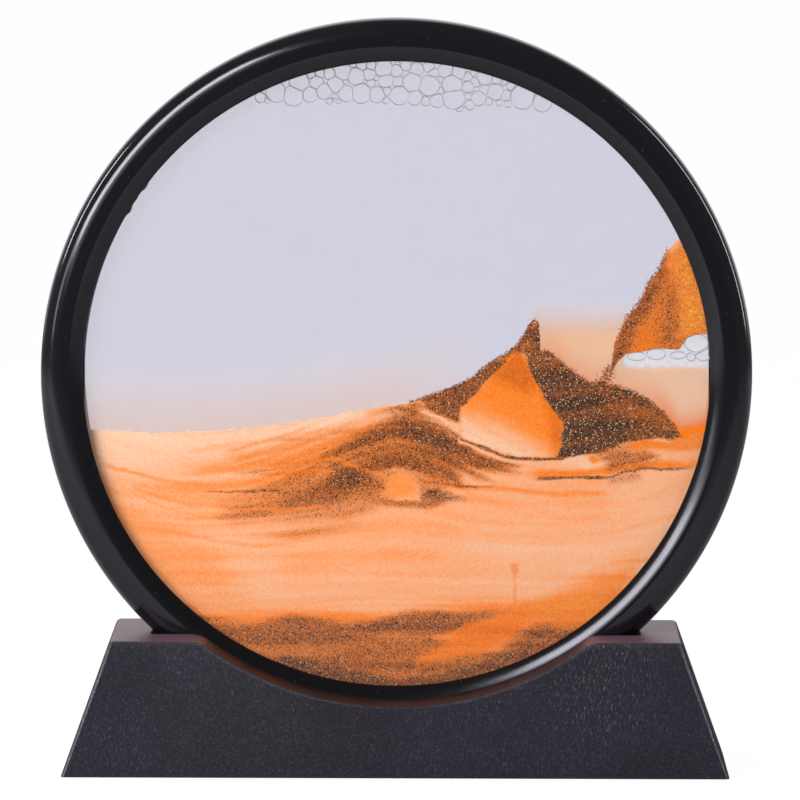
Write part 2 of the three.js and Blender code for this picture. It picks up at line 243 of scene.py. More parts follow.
turn_joint = next(joint for joint in frame["joints"] if joint["name"] == "frame_turn")
AXIS_HEIGHT = turn_joint["pos_m"][2] / MM
SIGHT_RADIUS = 78.3
BEAD_OUTER = 83.2
BEAD_SETBACK = 0.9
BEAD_INSIDE, BEAD_OUTSIDE = 1.74, 1.98
CREEP_ANGLE, CREEP_SPAN = 2.55, 0.22
BEAD_STEPS = 720


def round_surface(angle, radius, depth):
    """Points in metres at an angle from +X about the ring's axis, at a radius and a place along Y, in mm."""
    x, z = radius * np.cos(angle), radius * np.sin(angle) + AXIS_HEIGHT
    return np.stack(np.broadcast_arrays(x, depth, z), -1) * MM


def seal_bead(name, near, far):
    """A closed ring between two depths. Its inner edge is set back behind the sight edge, less waves, plus
    creeping at the upper left; share and reach carry its section round from the inner to the outer edge."""
    angle = np.linspace(0, 2 * np.pi, BEAD_STEPS, endpoint=False)[:, None]
    ragged = 0.98 + 0.22 * np.sin(angle * 61) + 0.16 * np.sin(angle * 143 + 1)
    creep = np.exp(-((angle - CREEP_ANGLE) / CREEP_SPAN) ** 2) * ragged
    waver = 0.18 * np.sin(angle * 9 + near) + 0.1 * np.sin(angle * 31)
    inner = SIGHT_RADIUS + BEAD_SETBACK + waver - creep
    share = np.array([0, 0.02, 0.5, 1, 1, 0.5, 0.02, 0])[None, :]
    reach = np.array([0.15, 0, 0, 0, 1, 1, 1, 0.85])[None, :]
    points = round_surface(angle, inner + (BEAD_OUTER - inner) * share, near + (far - near) * reach)
    return grid_piece(name, points, wrap=(True, True))


front_bead = seal_bead("front_sealing_bead", -BEAD_OUTSIDE, -BEAD_INSIDE)
rear_bead = seal_bead("rear_sealing_bead", BEAD_INSIDE, BEAD_OUTSIDE)
moulded_finish("sealant_black", shade(20, 19, 19), shade(38, 36, 36), 0.38, 700.0, front_bead, rear_bead)
for bead, node in ((front_bead, "front_seal"), (rear_bead, "rear_seal")):
    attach(bead, "frame")
    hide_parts(node)

# Sand: a bed of pale to orange sand, a dark heap with an orange slip face on it, and a third heap held up
# at the right. The grains lie flat against both panes, so each heap is a slab with a drawn top line.
# The layers are painted as soft seams and patches in three grain shares: warm, dark and golden.
FILL_RADIUS = 79.4
FILL_DEPTH = 1.7
GRAIN_SHARES = ("warm", "dark", "gold")
LATTICE = 64


def drift(x, z, length_x, length_z, seed):
    """Smooth noise from -1 to 1: seeded numbers length_x by length_z mm apart, eased between."""
    lattice = np.random.default_rng(seed).uniform(-1, 1, (LATTICE, LATTICE))
    column, row = np.floor(x / length_x).astype(int), np.floor(z / length_z).astype(int)
    across, up = x / length_x - column, z / length_z - row
    across, up = across * across * (3 - 2 * across), up * up * (3 - 2 * up)
    column, row = column % LATTICE, row % LATTICE
    next_column, next_row = (column + 1) % LATTICE, (row + 1) % LATTICE
    low = lattice[column, row] * (1 - across) + lattice[next_column, row] * across
    high = lattice[column, next_row] * (1 - across) + lattice[next_column, next_row] * across
    return low * (1 - up) + high * up


def eased(value, low, high):
    """0 at low, 1 at high, eased between them."""
    share = np.clip((value - low) / (high - low), 0, 1)
    return share * share * (3 - 2 * share)


# Run and rise in mm of the long streaks that the falling sand has left, deepest on the left, and the share
# of that rise at each height, as they lie flatter further down.
FLOW_RUN = [-78, -65, -52, -40, -30, -20, -10, 0, 10, 20, 30, 40, 50, 60, 70, 78]
FLOW_RISE = [6.5, 1.5, 0, 1.2, 4, 7.5, 11.5, 14, 12, 7, 4.5, 4, 5.5, 7.5, 10, 12]
FLOW_HEIGHT = [-62, -45, -34, -25]
FLOW_SHARE = [0.05, 0.15, 0.4, 1]
GROUND_WARM = 0.42


class SandPicture:
    """The grain shares at points x, z in mm from the ring's axis; seams and patches lie one over another."""

    def __init__(self, x, z):
        self.x = x + 0.5 * drift(x, z, 5.0, 3.0, 1) + 0.25 * drift(x, z, 1.6, 1.2, 2)
        self.z = z + 0.5 * drift(x, z, 9.0, 4.0, 3) + 0.22 * drift(x, z, 2.2, 1.1, 4)
        level = z - np.interp(x, FLOW_RUN, FLOW_RISE) * np.interp(z, FLOW_HEIGHT, FLOW_SHARE)
        self.streaks = (0.4 * drift(x, level, 42.0, 3.2, 5) + 0.35 * drift(x, level, 24.0, 1.4, 6)
                        + 0.25 * drift(x, level, 12.0, 0.75, 7))
        self.warm = np.full_like(x, GROUND_WARM)
        self.dark = np.zeros_like(x)
        self.gold = np.zeros_like(x)

    def lay(self, mask, shares):
        """Moves each named share towards its new value, by as much as the mask says."""
        for name, share in shares.items():
            before = getattr(self, name)
            setattr(self, name, before + (share - before) * mask)

    def seam(self, line, above, below, ends=2.5, strength=1.0, **shares):
        """A band along a line, fading out over above and below mm, and over ends mm at the line's ends."""
        run, height = np.array(line, float).T
        offset = self.z - np.interp(self.x, run, height)
        mask = 1 - np.clip(np.maximum(offset / above, -offset / below), 0, 1)
        reach = np.clip(np.minimum(self.x - run[0], run[-1] - self.x) / ends + 0.5, 0, 1)
        self.lay(eased(mask, 0, 0.8) * eased(reach, 0, 1) * strength, shares)

    def area(self, outline, soft, feather=0.0):
        """1 inside an outline, 0 outside it, eased over soft mm on both sides by the distance to the nearest
        edge, which the streaks feather."""
        start = np.array(outline, float)
        edge = np.roll(start, -1, 0) - start
        offset = np.stack([self.x, self.z], -1)[..., None, :] - start
        along = np.clip((offset * edge).sum(-1) / (edge ** 2).sum(-1), 0, 1)
        gap = np.linalg.norm(offset - along[..., None] * edge, axis=-1).min(-1)
        rises = (offset[..., 1] >= 0) != (offset[..., 1] - edge[:, 1] >= 0)
        level = np.where(edge[:, 1] == 0, 1e-9, edge[:, 1])
        crossed = rises & (offset[..., 0] < offset[..., 1] * edge[:, 0] / level)
        inside = crossed.sum(-1) % 2 == 1
        return eased(np.where(inside, gap, -gap) + feather * soft * self.streaks, -soft, soft)

    def patch(self, outline, soft, strength=1.0, feather=0.0, **shares):
        """Lays shares over an area."""
        self.lay(self.area(outline, soft, feather) * strength, shares)


def broad_tones(sand):
    """Pale at the top left and in the middle, orange under the heap, redder by the ring."""
    sand.patch([(-82, -8), (-8, -4), (-14, -15), (-40, -20), (-60, -24), (-80, -24)], 4.5, feather=0.8,
               warm=0.13)
    sand.patch([(-64, -28), (-46, -25), (-24, -21), (-8, -17), (-2, -30), (-14, -38), (-34, -41),
                (-54, -36)], 4.5, feather=1.2, warm=0.62)
    sand.patch([(-80, -26), (-62, -34), (-46, -43), (-36, -58), (-60, -62)], 5, feather=0.8, warm=0.68)
    sand.patch([(-28, -43), (-4, -37), (30, -38), (60, -35), (70, -42), (44, -53), (4, -56), (-28, -55)], 5,
               feather=1.0, warm=0.56)
    sand.patch([(14, -46), (20, -36), (48, -34), (72, -30), (70, -44), (50, -50), (30, -50)], 5,
               feather=1.0, warm=0.38)
    sand.patch([(2, -26), (20, -27.5), (40, -28.5), (56, -28), (52, -34), (25, -35.4), (8, -33)], 2.6,
               feather=1.5, warm=0.5)
    sand.patch([(-70, -54), (-46, -59.5), (-24, -59.6), (-4, -60.4), (13, -58.2), (34, -57), (60, -46),
                (60, -80), (-60, -80)], 3.4, feather=0.8, warm=0.86)


def left_slope(sand):
    """A cream edge along the top of the left slope, and long thin streaks down it."""
    sand.seam([(-78, -14.6), (-59, -15.6), (-39, -14.7), (-24, -12.6), (-8, -10)], 1.6, 2.6, warm=0.02,
              strength=0.9)
    sand.patch([(-80, -12), (-75, -14), (-74, -24), (-78, -30)], 1.5, warm=0.05)
    sand.seam([(-52, -19.8), (-30, -16.3), (-16.6, -14.2), (-8, -13.2)], 1.0, 1.0, ends=8, warm=0.55,
              strength=0.65)
    sand.seam([(-30, -16.9), (-16.6, -16.4), (-9, -15)], 0.5, 0.6, ends=6, dark=0.22, warm=0.6)
    sand.seam([(-50, -24.6), (-31.4, -22.6), (-16.6, -20.2), (-10, -18.6)], 2.0, 2.2, ends=10, warm=0.92,
              strength=0.7)
    sand.seam([(-38, -24.9), (-27.4, -23.4), (-22.1, -22.6), (-14, -21.6)], 0.5, 0.6, ends=7, dark=0.42)
    sand.seam([(-74, -22.6), (-67.2, -24.4), (-62.1, -25.9), (-55.2, -27.3), (-46, -28)], 0.7, 0.9, ends=7,
              warm=0.8, dark=0.04, strength=0.75)
    sand.seam([(-56, -28.4), (-44, -28), (-35, -27.3), (-28, -26.6)], 1.4, 1.8, ends=9, warm=0.88,
              strength=0.65)
    sand.seam([(-66, -29), (-51.2, -32.8), (-43.3, -33.4), (-37.3, -34.2), (-24, -34)], 0.8, 1.0, ends=9,
              warm=0.82, strength=0.65)
    sand.seam([(-68, -29.4), (-58, -33.4), (-50, -35.8), (-40, -36.8)], 0.6, 0.7, ends=6, warm=0.75,
              strength=0.65)
    sand.seam([(-66, -38.4), (-56, -40.4), (-48.8, -41.4), (-39.3, -43), (-26, -43.2)], 0.8, 0.8, ends=8,
              warm=0.8, dark=0.03, strength=0.6)


def dark_mass(sand):
    """The dark mass in the middle and its tail to the left, feathered along the streaks."""
    sand.patch([(-40, -20), (-24, -15), (-6, -11), (-2, -14), (-8, -21), (-20, -25), (-40, -26)], 4,
               feather=1.6, warm=0.8, dark=0.1)
    sand.patch([(-44, -33), (-32, -28), (-18, -23), (-5, -22), (-3, -30), (-12, -36), (-26, -39),
                (-40, -38)], 4, feather=1.2, dark=0.27, warm=0.8)
    sand.patch([(-30, -29), (-20, -26), (-10, -27), (-6, -31), (-14, -34.5), (-26, -35)], 3, feather=1.2,
               dark=0.4)
    sand.patch([(-3, -9.2), (0.8, -7.5), (5, -6.5), (9, -11), (13.2, -14.8), (17.4, -17.4), (21.5, -19.6),
                (29, -22.2), (21.5, -24.6), (15.7, -26), (11.1, -27.2), (6.6, -27), (4.5, -25.4),
                (0, -24.6), (-3.4, -26.2), (-9, -24), (-17, -21.6), (-12, -18), (-7.5, -14.5), (-6, -12)],
               3.0, feather=1.3, dark=0.42, warm=0.88)
    sand.patch([(-1.5, -9.5), (4, -8.6), (9, -12), (13, -15.4), (19, -19), (13, -21), (6, -18.5), (0, -14)],
               2.4, feather=0.6, dark=0.6)
    sand.seam([(-16, -14.9), (-3.4, -13.3), (3, -13.4)], 0.8, 0.8, ends=4, warm=0.85, dark=0.2,
              strength=0.8)
    sand.patch([(-15.8, -23.2), (-11.7, -22.6), (-7.5, -24.2), (-4.6, -26.1), (-3.4, -28.6), (-6.7, -30.3),
                (-10.4, -29.9), (-13.8, -28.6), (-16.7, -26.5)], 1.8, feather=0.6, dark=0.6, warm=0.85)
    sand.seam([(-32, -22.9), (-15.8, -21.8), (-8.4, -23.4), (-2.9, -25.6)], 0.6, 0.7, ends=5, warm=0.97,
              dark=0.1)
    sand.seam([(-34, -25.4), (-20, -24.8), (-14, -25.2)], 0.6, 0.6, ends=5, warm=0.95, dark=0.14)
    sand.seam([(-47, -29.8), (-42.5, -29.8), (-36.9, -29.6), (-28, -29.1)], 0.4, 0.45, ends=6, dark=0.5)
    sand.seam([(-40, -34.4), (-27, -34.2), (-18, -33)], 0.6, 0.7, ends=6, warm=0.95, dark=0.1)


def orange_pocket(sand):
    """The orange pocket with dark grains round it, and the feathered band to its right."""
    sand.patch([(-1.6, -26), (0.2, -24.4), (1.6, -24.4), (3.2, -25.6), (4.6, -27.6), (5.6, -29.2),
                (4, -30.6), (1.2, -31), (-1.5, -31), (-3.1, -30.6), (-2.7, -28.5)], 1.0, warm=0.74,
               dark=0.01, gold=0.25)
    sand.seam([(-5.5, -31.2), (0, -32.2), (7.5, -32), (12, -31.2)], 0.7, 2.2, ends=4, dark=0.3, warm=0.8)
    sand.patch([(6.2, -28.2), (10.6, -28.4), (13, -29.6), (17, -31.4), (12, -31.8), (6.4, -31.6)], 1.2,
               dark=0.46)
    sand.patch([(8, -28.7), (10.4, -28.6), (11, -30.2), (8.6, -30.6)], 0.8, dark=0.7)
    sand.seam([(5, -26.8), (9, -27.3), (17.5, -28), (30, -29), (41, -30.4), (52, -30)], 1.0, 1.2, ends=8,
              warm=0.9, strength=0.7)
    sand.seam([(6, -26.7), (11, -27.2), (18, -27.8), (24, -28)], 0.4, 0.45, ends=5, dark=0.45)
    sand.seam([(13, -30.7), (22, -32), (30, -33), (41, -32.7), (56, -32.2)], 1.4, 1.7, ends=9, warm=0.8,
              strength=0.4)


def heap_flanks(sand):
    """The heap's dark flanks on both sides of its slip face."""
    sand.patch([(36.5, 15), (33.5, 15), (31, 8), (33.4, 0.8), (35.3, -3.2), (37.6, -7), (42.1, -14),
                (40, -20.8), (43.4, -20), (51.3, -19.1), (55.8, -17.2), (61, -17.5), (65.4, -16),
                (76, -16.6), (72, -10), (64, -2), (52, 0), (40, 7)], 0.8, dark=0.86, warm=0.85)
    sand.patch([(42, -6), (48, -8), (56, -11), (61, -15.5), (54, -17.4), (46, -19.4), (42, -19.6),
                (43, -14)], 2.4, dark=1.0)
    sand.patch([(50, -3), (58, -5), (66, -9), (70, -14), (62, -12.5), (54, -9)], 2, 0.7, dark=0.55,
               warm=0.95)
    sand.patch([(5.7, -6.5), (17.4, -0.5), (22, 3), (29, 9), (34, 15), (37, 15), (34, 5), (29.6, 4.8),
                (21.4, -2.7), (16.5, -8.5), (15.2, -12), (10, -10.4)], 0.7, dark=0.56, warm=0.85)


def slip_face(sand):
    """The slip face: orange runs of sand, redder at the tip and the right edge, pale towards the foot.
    Gives the area that it takes up."""
    face = sand.area([(29.6, 5.4), (28.9, 4.8), (21.4, -2.7), (19.4, -4.8), (16.5, -8.5), (16.2, -12.3),
                      (15.7, -15.4), (20, -17.6), (25.7, -19.2), (29.9, -20.5), (34.9, -20.6),
                      (39.8, -20.2), (41.1, -17.5), (42.1, -14), (39.8, -10.2), (37.6, -7), (35.3, -3.2),
                      (33.4, 0.8), (31.5, 4.5)], 0.6)
    runs = drift(sand.x - 0.8 * sand.z, sand.z + 0.6 * sand.x, 9.0, 1.1, 9)
    sand.lay(face, {"warm": 0.93 + 0.06 * runs, "dark": 0.0, "gold": 0.1 + 0.1 * runs})
    sand.lay(face * sand.area([(27, 5), (31, 8), (37, 0), (33, -5), (27, -2), (23, 0)], 2.6),
             {"dark": 0.1, "warm": 1.16})
    sand.lay(face * sand.area([(35, -2), (44, -14), (43, -22), (38, -21), (39, -14)], 1.8),
             {"dark": 0.08, "warm": 1.12})
    pale = sand.area([(10, -7.2), (19, -10.6), (25, -13.2), (31, -16.2), (36, -19), (42, -23), (30, -27),
                      (10, -20)], 5.0)
    sand.lay(face * pale, {"warm": 0.1 + 0.1 * runs, "dark": 0.0, "gold": 0.0})
    return face


def heap_foot(sand):
    """The dark line and the pale band along the heap's foot, and the thin layers to its right."""
    sand.seam([(15.7, -16), (21.5, -18.3), (27.7, -20.5), (31.9, -21), (41.5, -21.2)], 0.5, 0.7, ends=1,
              dark=0.6)
    sand.seam([(5.7, -9.2), (11.2, -11.2), (14.9, -14), (15.9, -16.6), (21.2, -19.3), (27.7, -21.6),
               (34, -22.6), (41, -22.8)], 0.6, 0.8, ends=2, warm=0.3, dark=0.03)
    sand.patch([(40.3, -22.6), (43.4, -20.5), (46.3, -19.9), (48.8, -20.1), (50.8, -21.9), (48, -24)], 0.7,
               warm=0.14, dark=0.03)
    sand.patch([(47.6, -20.3), (49.4, -20.4), (50.8, -21.9), (49, -22.6)], 0.6, warm=0.9)
    sand.patch([(50.8, -20.5), (57, -18.6), (63, -19), (66, -21), (62.3, -22.8), (54, -23.8)], 1.6,
               feather=0.8, dark=0.34, warm=0.7)
    sand.seam([(58, -17.6), (65.3, -17.6), (71, -17.4), (78, -17)], 1.0, 2.4, ends=3, warm=0.9, dark=0.05)
    sand.patch([(68, -18), (72, -13.5), (80, -12), (80, -17), (74, -18)], 1.2, warm=0.85, dark=0.05)
    sand.seam([(34, -25.2), (47, -25.4), (57, -23.6), (68, -22.8), (76, -22.4)], 1.5, 1.0, ends=6,
              warm=0.88)
    sand.seam([(36, -26.1), (43, -26.3), (49.5, -26.2), (53.9, -25.7), (57.5, -24.6), (61, -24),
               (67.1, -23.8), (74, -23.1)], 0.45, 0.55, ends=5, dark=0.52)
    sand.patch([(53, -25.8), (61, -24.6), (61.5, -26.4), (54, -27.8)], 1.0, dark=0.2)
    sand.seam([(49, -49.4), (58, -47.4), (66, -45.6)], 0.8, 1.0, ends=5, warm=0.72, strength=0.6)
    sand.seam([(44, -41), (58, -38.6), (71, -35.4)], 0.8, 1.0, ends=6, warm=0.6, strength=0.6)


def lower_layers(sand):
    """The drip under the bed, and the dark and orange layers along the ring."""
    sand.patch([(28.4, -47.8), (30.8, -47.8), (29.9, -51.4), (30.1, -60), (29.5, -60), (29.4, -51.4)], 0.4,
               warm=0.8, dark=0.05)
    sand.patch([(-60, -55), (-47.5, -61.7), (-40.7, -62.6), (-32.7, -62.6), (-25.6, -61.7), (-13.9, -63.5),
                (-5, -63.1), (-0.5, -61), (4.8, -59.9), (15.9, -60.1), (28, -60.6), (16.3, -64),
                (10, -66.5), (30, -72), (0, -84), (-40, -76)], 1.5, feather=0.8, dark=0.4, warm=0.88)
    sand.patch([(-32, -63), (-24, -62.6), (-13, -64.4), (-1, -62.2), (14, -61), (25, -60.9), (12, -64.6),
                (0, -67.4), (-16, -67.6), (-28, -66)], 1.6, feather=0.8, dark=0.46)
    sand.patch([(5.9, -70.9), (13.5, -67.9), (17.4, -63.9), (21.2, -62.1), (27.3, -61), (32.7, -57.9),
                (40.4, -58.3), (36, -61.5), (31, -63.8), (27, -67), (22, -70.4), (13.5, -71.9),
                (5.9, -72.5)], 1.4, feather=0.8, warm=1.0, dark=0.02)
    sand.patch([(14, -80), (19, -75.5), (24, -71.5), (28, -68), (31, -66), (36, -64), (41, -63),
                (47, -63.5), (50, -66), (30, -80)], 2.0, feather=0.8, dark=0.46)
    sand.patch([(31, -59), (40, -55), (53.7, -52), (56, -56), (48, -64), (40, -64)], 2.5, 0.9, warm=1.0,
               dark=0.03, gold=0.5)
    sand.seam([(-30, -72.4), (-10.5, -76.4), (0, -78.2), (12, -77.4), (34, -70)], 2.2, 3, dark=0.7)


def sand_picture(x, z):
    """Lays the parts of the bed and the heap one over another, then varies them along the streaks."""
    sand = SandPicture(x, z)
    broad_tones(sand)
    left_slope(sand)
    dark_mass(sand)
    orange_pocket(sand)
    heap_flanks(sand)
    face = slip_face(sand)
    heap_foot(sand)
    lower_layers(sand)
    sand.warm += 0.19 * sand.streaks * (1 - face)
    sand.dark *= 1 + 0.7 * sand.streaks
    return sand


# The heaps lie a hair behind the bed's face, so that no two faces share one plane.
HEAP_SETBACK, HUNG_SETBACK = 0.04, 0.02
SAND_BEND, SAND_FALL = 0.06, 0.7
BEND_STEPS = 4


def slab(name, top, foot, columns, front_rows, rear_rows, depth, bend, fall=0.0):
    """A slab between a foot line and a top line over x: each column is a closed loop, up the front face and
    down the rear one. Its top and foot edges are rounded over bend mm, and its top falls by fall mm to the
    rear."""
    run = np.array(columns, float)
    low, high = foot(run), np.maximum(top(run), foot(run))
    turn = np.linspace(0, np.pi / 2, BEND_STEPS)
    rise, lag = np.sin(turn), 1 - np.cos(turn)
    up = np.linspace(0, 1, front_rows)
    down = np.linspace(1, 0, rear_rows)
    soft = np.minimum(bend, (high - low) / 2)[:, None]
    bottom, crown = low[:, None] + soft, high[:, None] - soft
    heights = np.concatenate([
        bottom + (crown - bottom) * up, crown + soft * rise, crown + soft * rise[::-1],
        bottom + (crown - bottom) * down, bottom - soft * rise, bottom - soft * rise[::-1]], 1)
    inset = np.concatenate([0 * up, lag, lag[::-1], 0 * down, lag, lag[::-1]])
    stretches = [front_rows, BEND_STEPS, BEND_STEPS, rear_rows, BEND_STEPS, BEND_STEPS]
    side = np.repeat([-1, -1, 1, 1, 1, -1], stretches)
    depths = side * (depth - inset * soft)
    heights -= np.where(side > 0, fall, 0) * eased(heights, bottom, crown + 0.01)
    points = np.stack(np.broadcast_arrays(run[:, None], depths, heights + AXIS_HEIGHT), -1) * MM
    piece = grid_piece(name, points, wrap=(False, True), caps=True)
    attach(piece, "frame")
    return piece


def places(piece):
    """A piece's points as x, y and z in mm from the ring's axis."""
    flat = np.empty(len(piece.data.vertices) * 3, np.float32)
    piece.data.vertices.foreach_get("co", flat)
    x, y, z = flat.reshape(-1, 3).T.astype(float) / MM
    return x, y, z - AXIS_HEIGHT


def paint(piece, picture, names):
    """Writes the shares of a picture into a piece, point by point."""
    x, _, z = places(piece)
    drawn = picture(x, z)
    for name in names:
        give_share(piece.data, name, np.clip(getattr(drawn, name), 0, 1.3))


def line(points):
    """A drawn line as a function of x: straight runs between its points."""
    run, height = np.array(points, float).T
    return lambda x: np.interp(x, run, height)


def cell_wall(x):
    """Height of the cell's lower wall below the ring's axis at each x."""
    return -np.sqrt(np.maximum(FILL_RADIUS ** 2 - x ** 2, 0))


bed_line = line([(-78.1, -14.2), (-59.2, -15), (-39.4, -14.1), (-27.4, -12.7), (-24.1, -11.9),
                 (-16.6, -10.8), (-11.6, -9.5), (-3.4, -8.4), (2, -7.6), (8, -9.5), (15, -14.3),
                 (25.7, -20.9), (38.3, -23.1), (52, -21.8), (68, -19), (70.5, -16.8), (72.8, -15.4),
                 (75.5, -14.6), (77.8, -14.1)])
heap_line = line([(0, -8.2), (4.9, -6.8), (11.2, -4.5), (17.4, -2), (21.7, 1.3), (29.7, 6.8), (31.6, 9.3),
                  (32.8, 11.8), (33.6, 12.8), (34.4, 13.1), (35.1, 12.8), (35.6, 11.8), (35.9, 6.2),
                  (37.5, 5.6), (39.8, 4.3), (42.9, 1.3), (45.2, -0.3), (48, -1.9), (50.2, -2.8),
                  (53.5, -2.9), (56.8, -3.6), (60.1, -4.8), (63.4, -6.9), (66.8, -9.7), (69.5, -13),
                  (71.7, -16.5), (73.4, -17.6)])
hung_top = line([(53.6, 0.8), (54.4, 6.9), (55.4, 9.2), (56.8, 12.9), (60.8, 18.1), (62.8, 22.5),
                 (65.5, 26), (67.5, 31), (69.4, 33.2), (70.6, 34), (71.2, 36), (78.6, 36)])
hung_foot = line([(53.6, 0.5), (55.4, 3.4), (57.5, 5.2), (61.8, 5.8), (65.5, 6.6), (70.6, 6.2), (72.6, 9.2),
                  (75.4, 10.2), (78.6, 10.2)])


def wavered(edge, x):
    """A top line with the small steps that grains leave on it."""
    return edge(x) + 0.12 * drift(x, 0 * x, 1.1, 1.0, 11) + 0.14 * drift(x, 0 * x, 0.5, 1.0, 12)


bed = slab("dune_bed", lambda x: wavered(bed_line, x), cell_wall, np.linspace(-78.0, 77.8, 400),
           front_rows=150, rear_rows=60, depth=FILL_DEPTH, bend=SAND_BEND, fall=SAND_FALL)
heap = slab("dark_heap", lambda x: wavered(heap_line, x),
            lambda x: np.minimum(bed_line(x) - 1.0, wavered(heap_line, x)), np.linspace(0.2, 73.3, 220),
            front_rows=90, rear_rows=40, depth=FILL_DEPTH - HEAP_SETBACK, bend=SAND_BEND, fall=SAND_FALL)
hung = slab("hanging_heap", lambda x: np.minimum(wavered(hung_top, x), -cell_wall(x)), hung_foot,
            np.linspace(53.7, 78.5, 90), front_rows=80, rear_rows=40,
            depth=FILL_DEPTH - HUNG_SETBACK, bend=SAND_BEND, fall=SAND_FALL)


def hung_picture(x, z):
    """The hanging heap: vivid orange, dark grains down its left edge, golden towards the ring."""
    sand = SandPicture(x, z)
    sand.lay(np.ones_like(x), {"warm": 0.9, "dark": 0.25})
    sand.patch([(52, -2), (54, 7), (57, 14), (62, 21), (66, 28), (69, 35), (72, 35), (68, 27), (64, 19),
                (60.5, 13), (58.5, 8), (57, 4)], 2.0, dark=0.6)
    sand.patch([(66.5, 27), (69, 34), (71, 36), (74, 30), (71, 25)], 1.5, dark=0.08, warm=0.85)
    sand.patch([(67.5, 31.5), (70, 36), (74, 36), (71, 32), (69, 30.5)], 0.8, dark=0.0, warm=0.4)
    sand.patch([(58.5, 4.5), (65.5, 6.5), (65, 11), (62, 12)], 1.8, dark=0.12, warm=1)
    sand.patch([(66, 8), (70, 7), (71, 14), (70, 22), (67, 18)], 2.2, dark=0.44, warm=0.9)
    sand.patch([(70, 10), (80, 10), (78, 20), (72, 33), (69, 26), (71, 16)], 2.4, gold=1.1, dark=0.12,
               warm=0.88)
    sand.dark *= 1 + 0.3 * sand.streaks
    return sand


for piece, picture in ((bed, sand_picture), (heap, sand_picture), (hung, hung_picture)):
    paint(piece, picture, GRAIN_SHARES)

# Loose grains: single grains that fall from the hanging heap's tail to the ridge below it, and those that
# lie along the tops of both heaps. Each is a small eight-sided crystal, and they stay between the panes.
FALLING, ON_HEAP, ON_HUNG = 360, 800, 240
GRAINS = FALLING + ON_HEAP + ON_HUNG
TAIL_X, TAIL_Z = 53.9, 2.0
FALL_LEFT, FALL_DOWN = 3.0, 5.4
PEAK_X = 34
GRAIN_REACH = 1.66
chance = np.random.default_rng(7)
fall = chance.uniform(0, 1, FALLING) ** 0.8
heap_x, hung_x = chance.uniform(3, 72, ON_HEAP), chance.uniform(53.8, 67.5, ON_HUNG)
grain_x = np.concatenate([TAIL_X - FALL_LEFT * fall + chance.normal(0, 0.45 + 0.9 * fall), heap_x, hung_x])
grain_z = np.concatenate([TAIL_Z - FALL_DOWN * fall + chance.normal(0, 0.6, FALLING),
                          heap_line(heap_x) + np.abs(chance.normal(0, np.where(heap_x < PEAK_X, 0.16, 0.38))),
                          hung_top(hung_x) + np.abs(chance.normal(0, 0.55, ON_HUNG))])
grain_size = chance.uniform(0.12, 0.25, GRAINS)
grain_y = np.where(chance.uniform(0, 1, GRAINS) < 0.7, -1, 1) * (GRAIN_REACH - 1.2 * grain_size)
CRYSTAL = np.array([(1, 0, 0), (-1, 0, 0), (0, 1, 0), (0, -1, 0), (0, 0, 1), (0, 0, -1)], float)
FACETS = np.array([(0, 2, 4), (2, 1, 4), (1, 3, 4), (3, 0, 4), (2, 0, 5), (1, 2, 5), (3, 1, 5), (0, 3, 5)])
grain_corners = CRYSTAL * chance.uniform(0.7, 1.2, (GRAINS, 6, 1)) * grain_size[:, None, None]
grain_corners += np.stack([grain_x, grain_y, grain_z + AXIS_HEIGHT], -1)[:, None, :]
grain_facets = FACETS + len(CRYSTAL) * np.arange(GRAINS)[:, None, None]
loose = faced_piece("loose_grains", grain_corners.reshape(-1, 3) * MM,
                    grain_facets.reshape(-1, 3).tolist(), sharp=180)
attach(loose, "frame")


def loose_picture(x, z):
    """The loose grains: orange and dark ones mixed."""
    sand = SandPicture(x, z)
    sand.lay(np.ones_like(x), {"warm": 0.9, "dark": 0.5})
    return sand


paint(loose, loose_picture, GRAIN_SHARES)

# The sands' finish: grains of about 0.23 mm, each a light one on the scale from pale to orange or a dark one.
# The dark share sets how many are dark; larger flecks vary the tone, and some of them shine golden.
GRAINS_A_METRE, FLECKS_A_METRE = 4300.0, 3300.0
sand = start_finish("layered_sand")
place = sand.node("TexCoord", out="Object")
warm, dark, gold = (sand.share(name) for name in GRAIN_SHARES)
grains = {"Vector": place, "Scale": GRAINS_A_METRE}
edge = sand.node("TexVoronoi", {}, grains, out="Distance")
drawn = sand.node("TexVoronoi", {}, grains, out="Color")
dice, tint, glint = (sand.node("SeparateColor", {}, {"Color": drawn}, out=name)
                     for name in ("Red", "Green", "Blue"))
clumps = place.noise(420.0, 3.0)
flecks = sand.node("TexVoronoi", {}, {"Vector": place, "Scale": FLECKS_A_METRE}, out="Color")
fleck = sand.node("SeparateColor", {}, {"Color": flecks}, out="Red")
light_grain = sand.node("ValToRGB", {"stops": [
    (0.0, shade(250, 206, 174)), (0.27, shade(250, 181, 139)), (0.46, shade(253, 163, 105)),
    (0.615, shade(254, 144, 66)), (0.77, shade(255, 128, 22)), (1.0, shade(214, 92, 8))]}, {
        "Fac": (warm + (tint - 0.5) * 0.22 + (fleck - 0.5) * 0.2) * 0.77})
golden = (gold * fleck.between(0.74, 0.84)).mix(light_grain, shade(255, 192, 72))
stained = (dark * (glint * 1.2 + 1.0)).mix(golden, shade(162, 88, 40))
dark_grain = sand.node("ValToRGB", {"steps": "CONSTANT", "stops": [
    (0.0, shade(38, 28, 24)), (0.32, shade(72, 46, 34)), (0.6, shade(118, 74, 46)),
    (0.88, shade(112, 98, 94)), (0.94, shade(226, 178, 132))]}, {"Fac": tint})
packed = dark * (dark * 0.5 + 0.5)
is_dark = (dice - packed * (clumps + 0.5)).between(0.0, -0.08)
lay_finish(sand.node("BsdfPrincipled", {}, {
    "Base Color": is_dark.mix(stained, dark_grain),
    "Roughness": 0.92 - glint.between(0.965, 0.985) * 0.6,
    "Normal": (1 - edge).relief(0.35, 0.12 * MM),
    "Specular IOR Level": 0.25,
}), bed, heap, hung, loose)
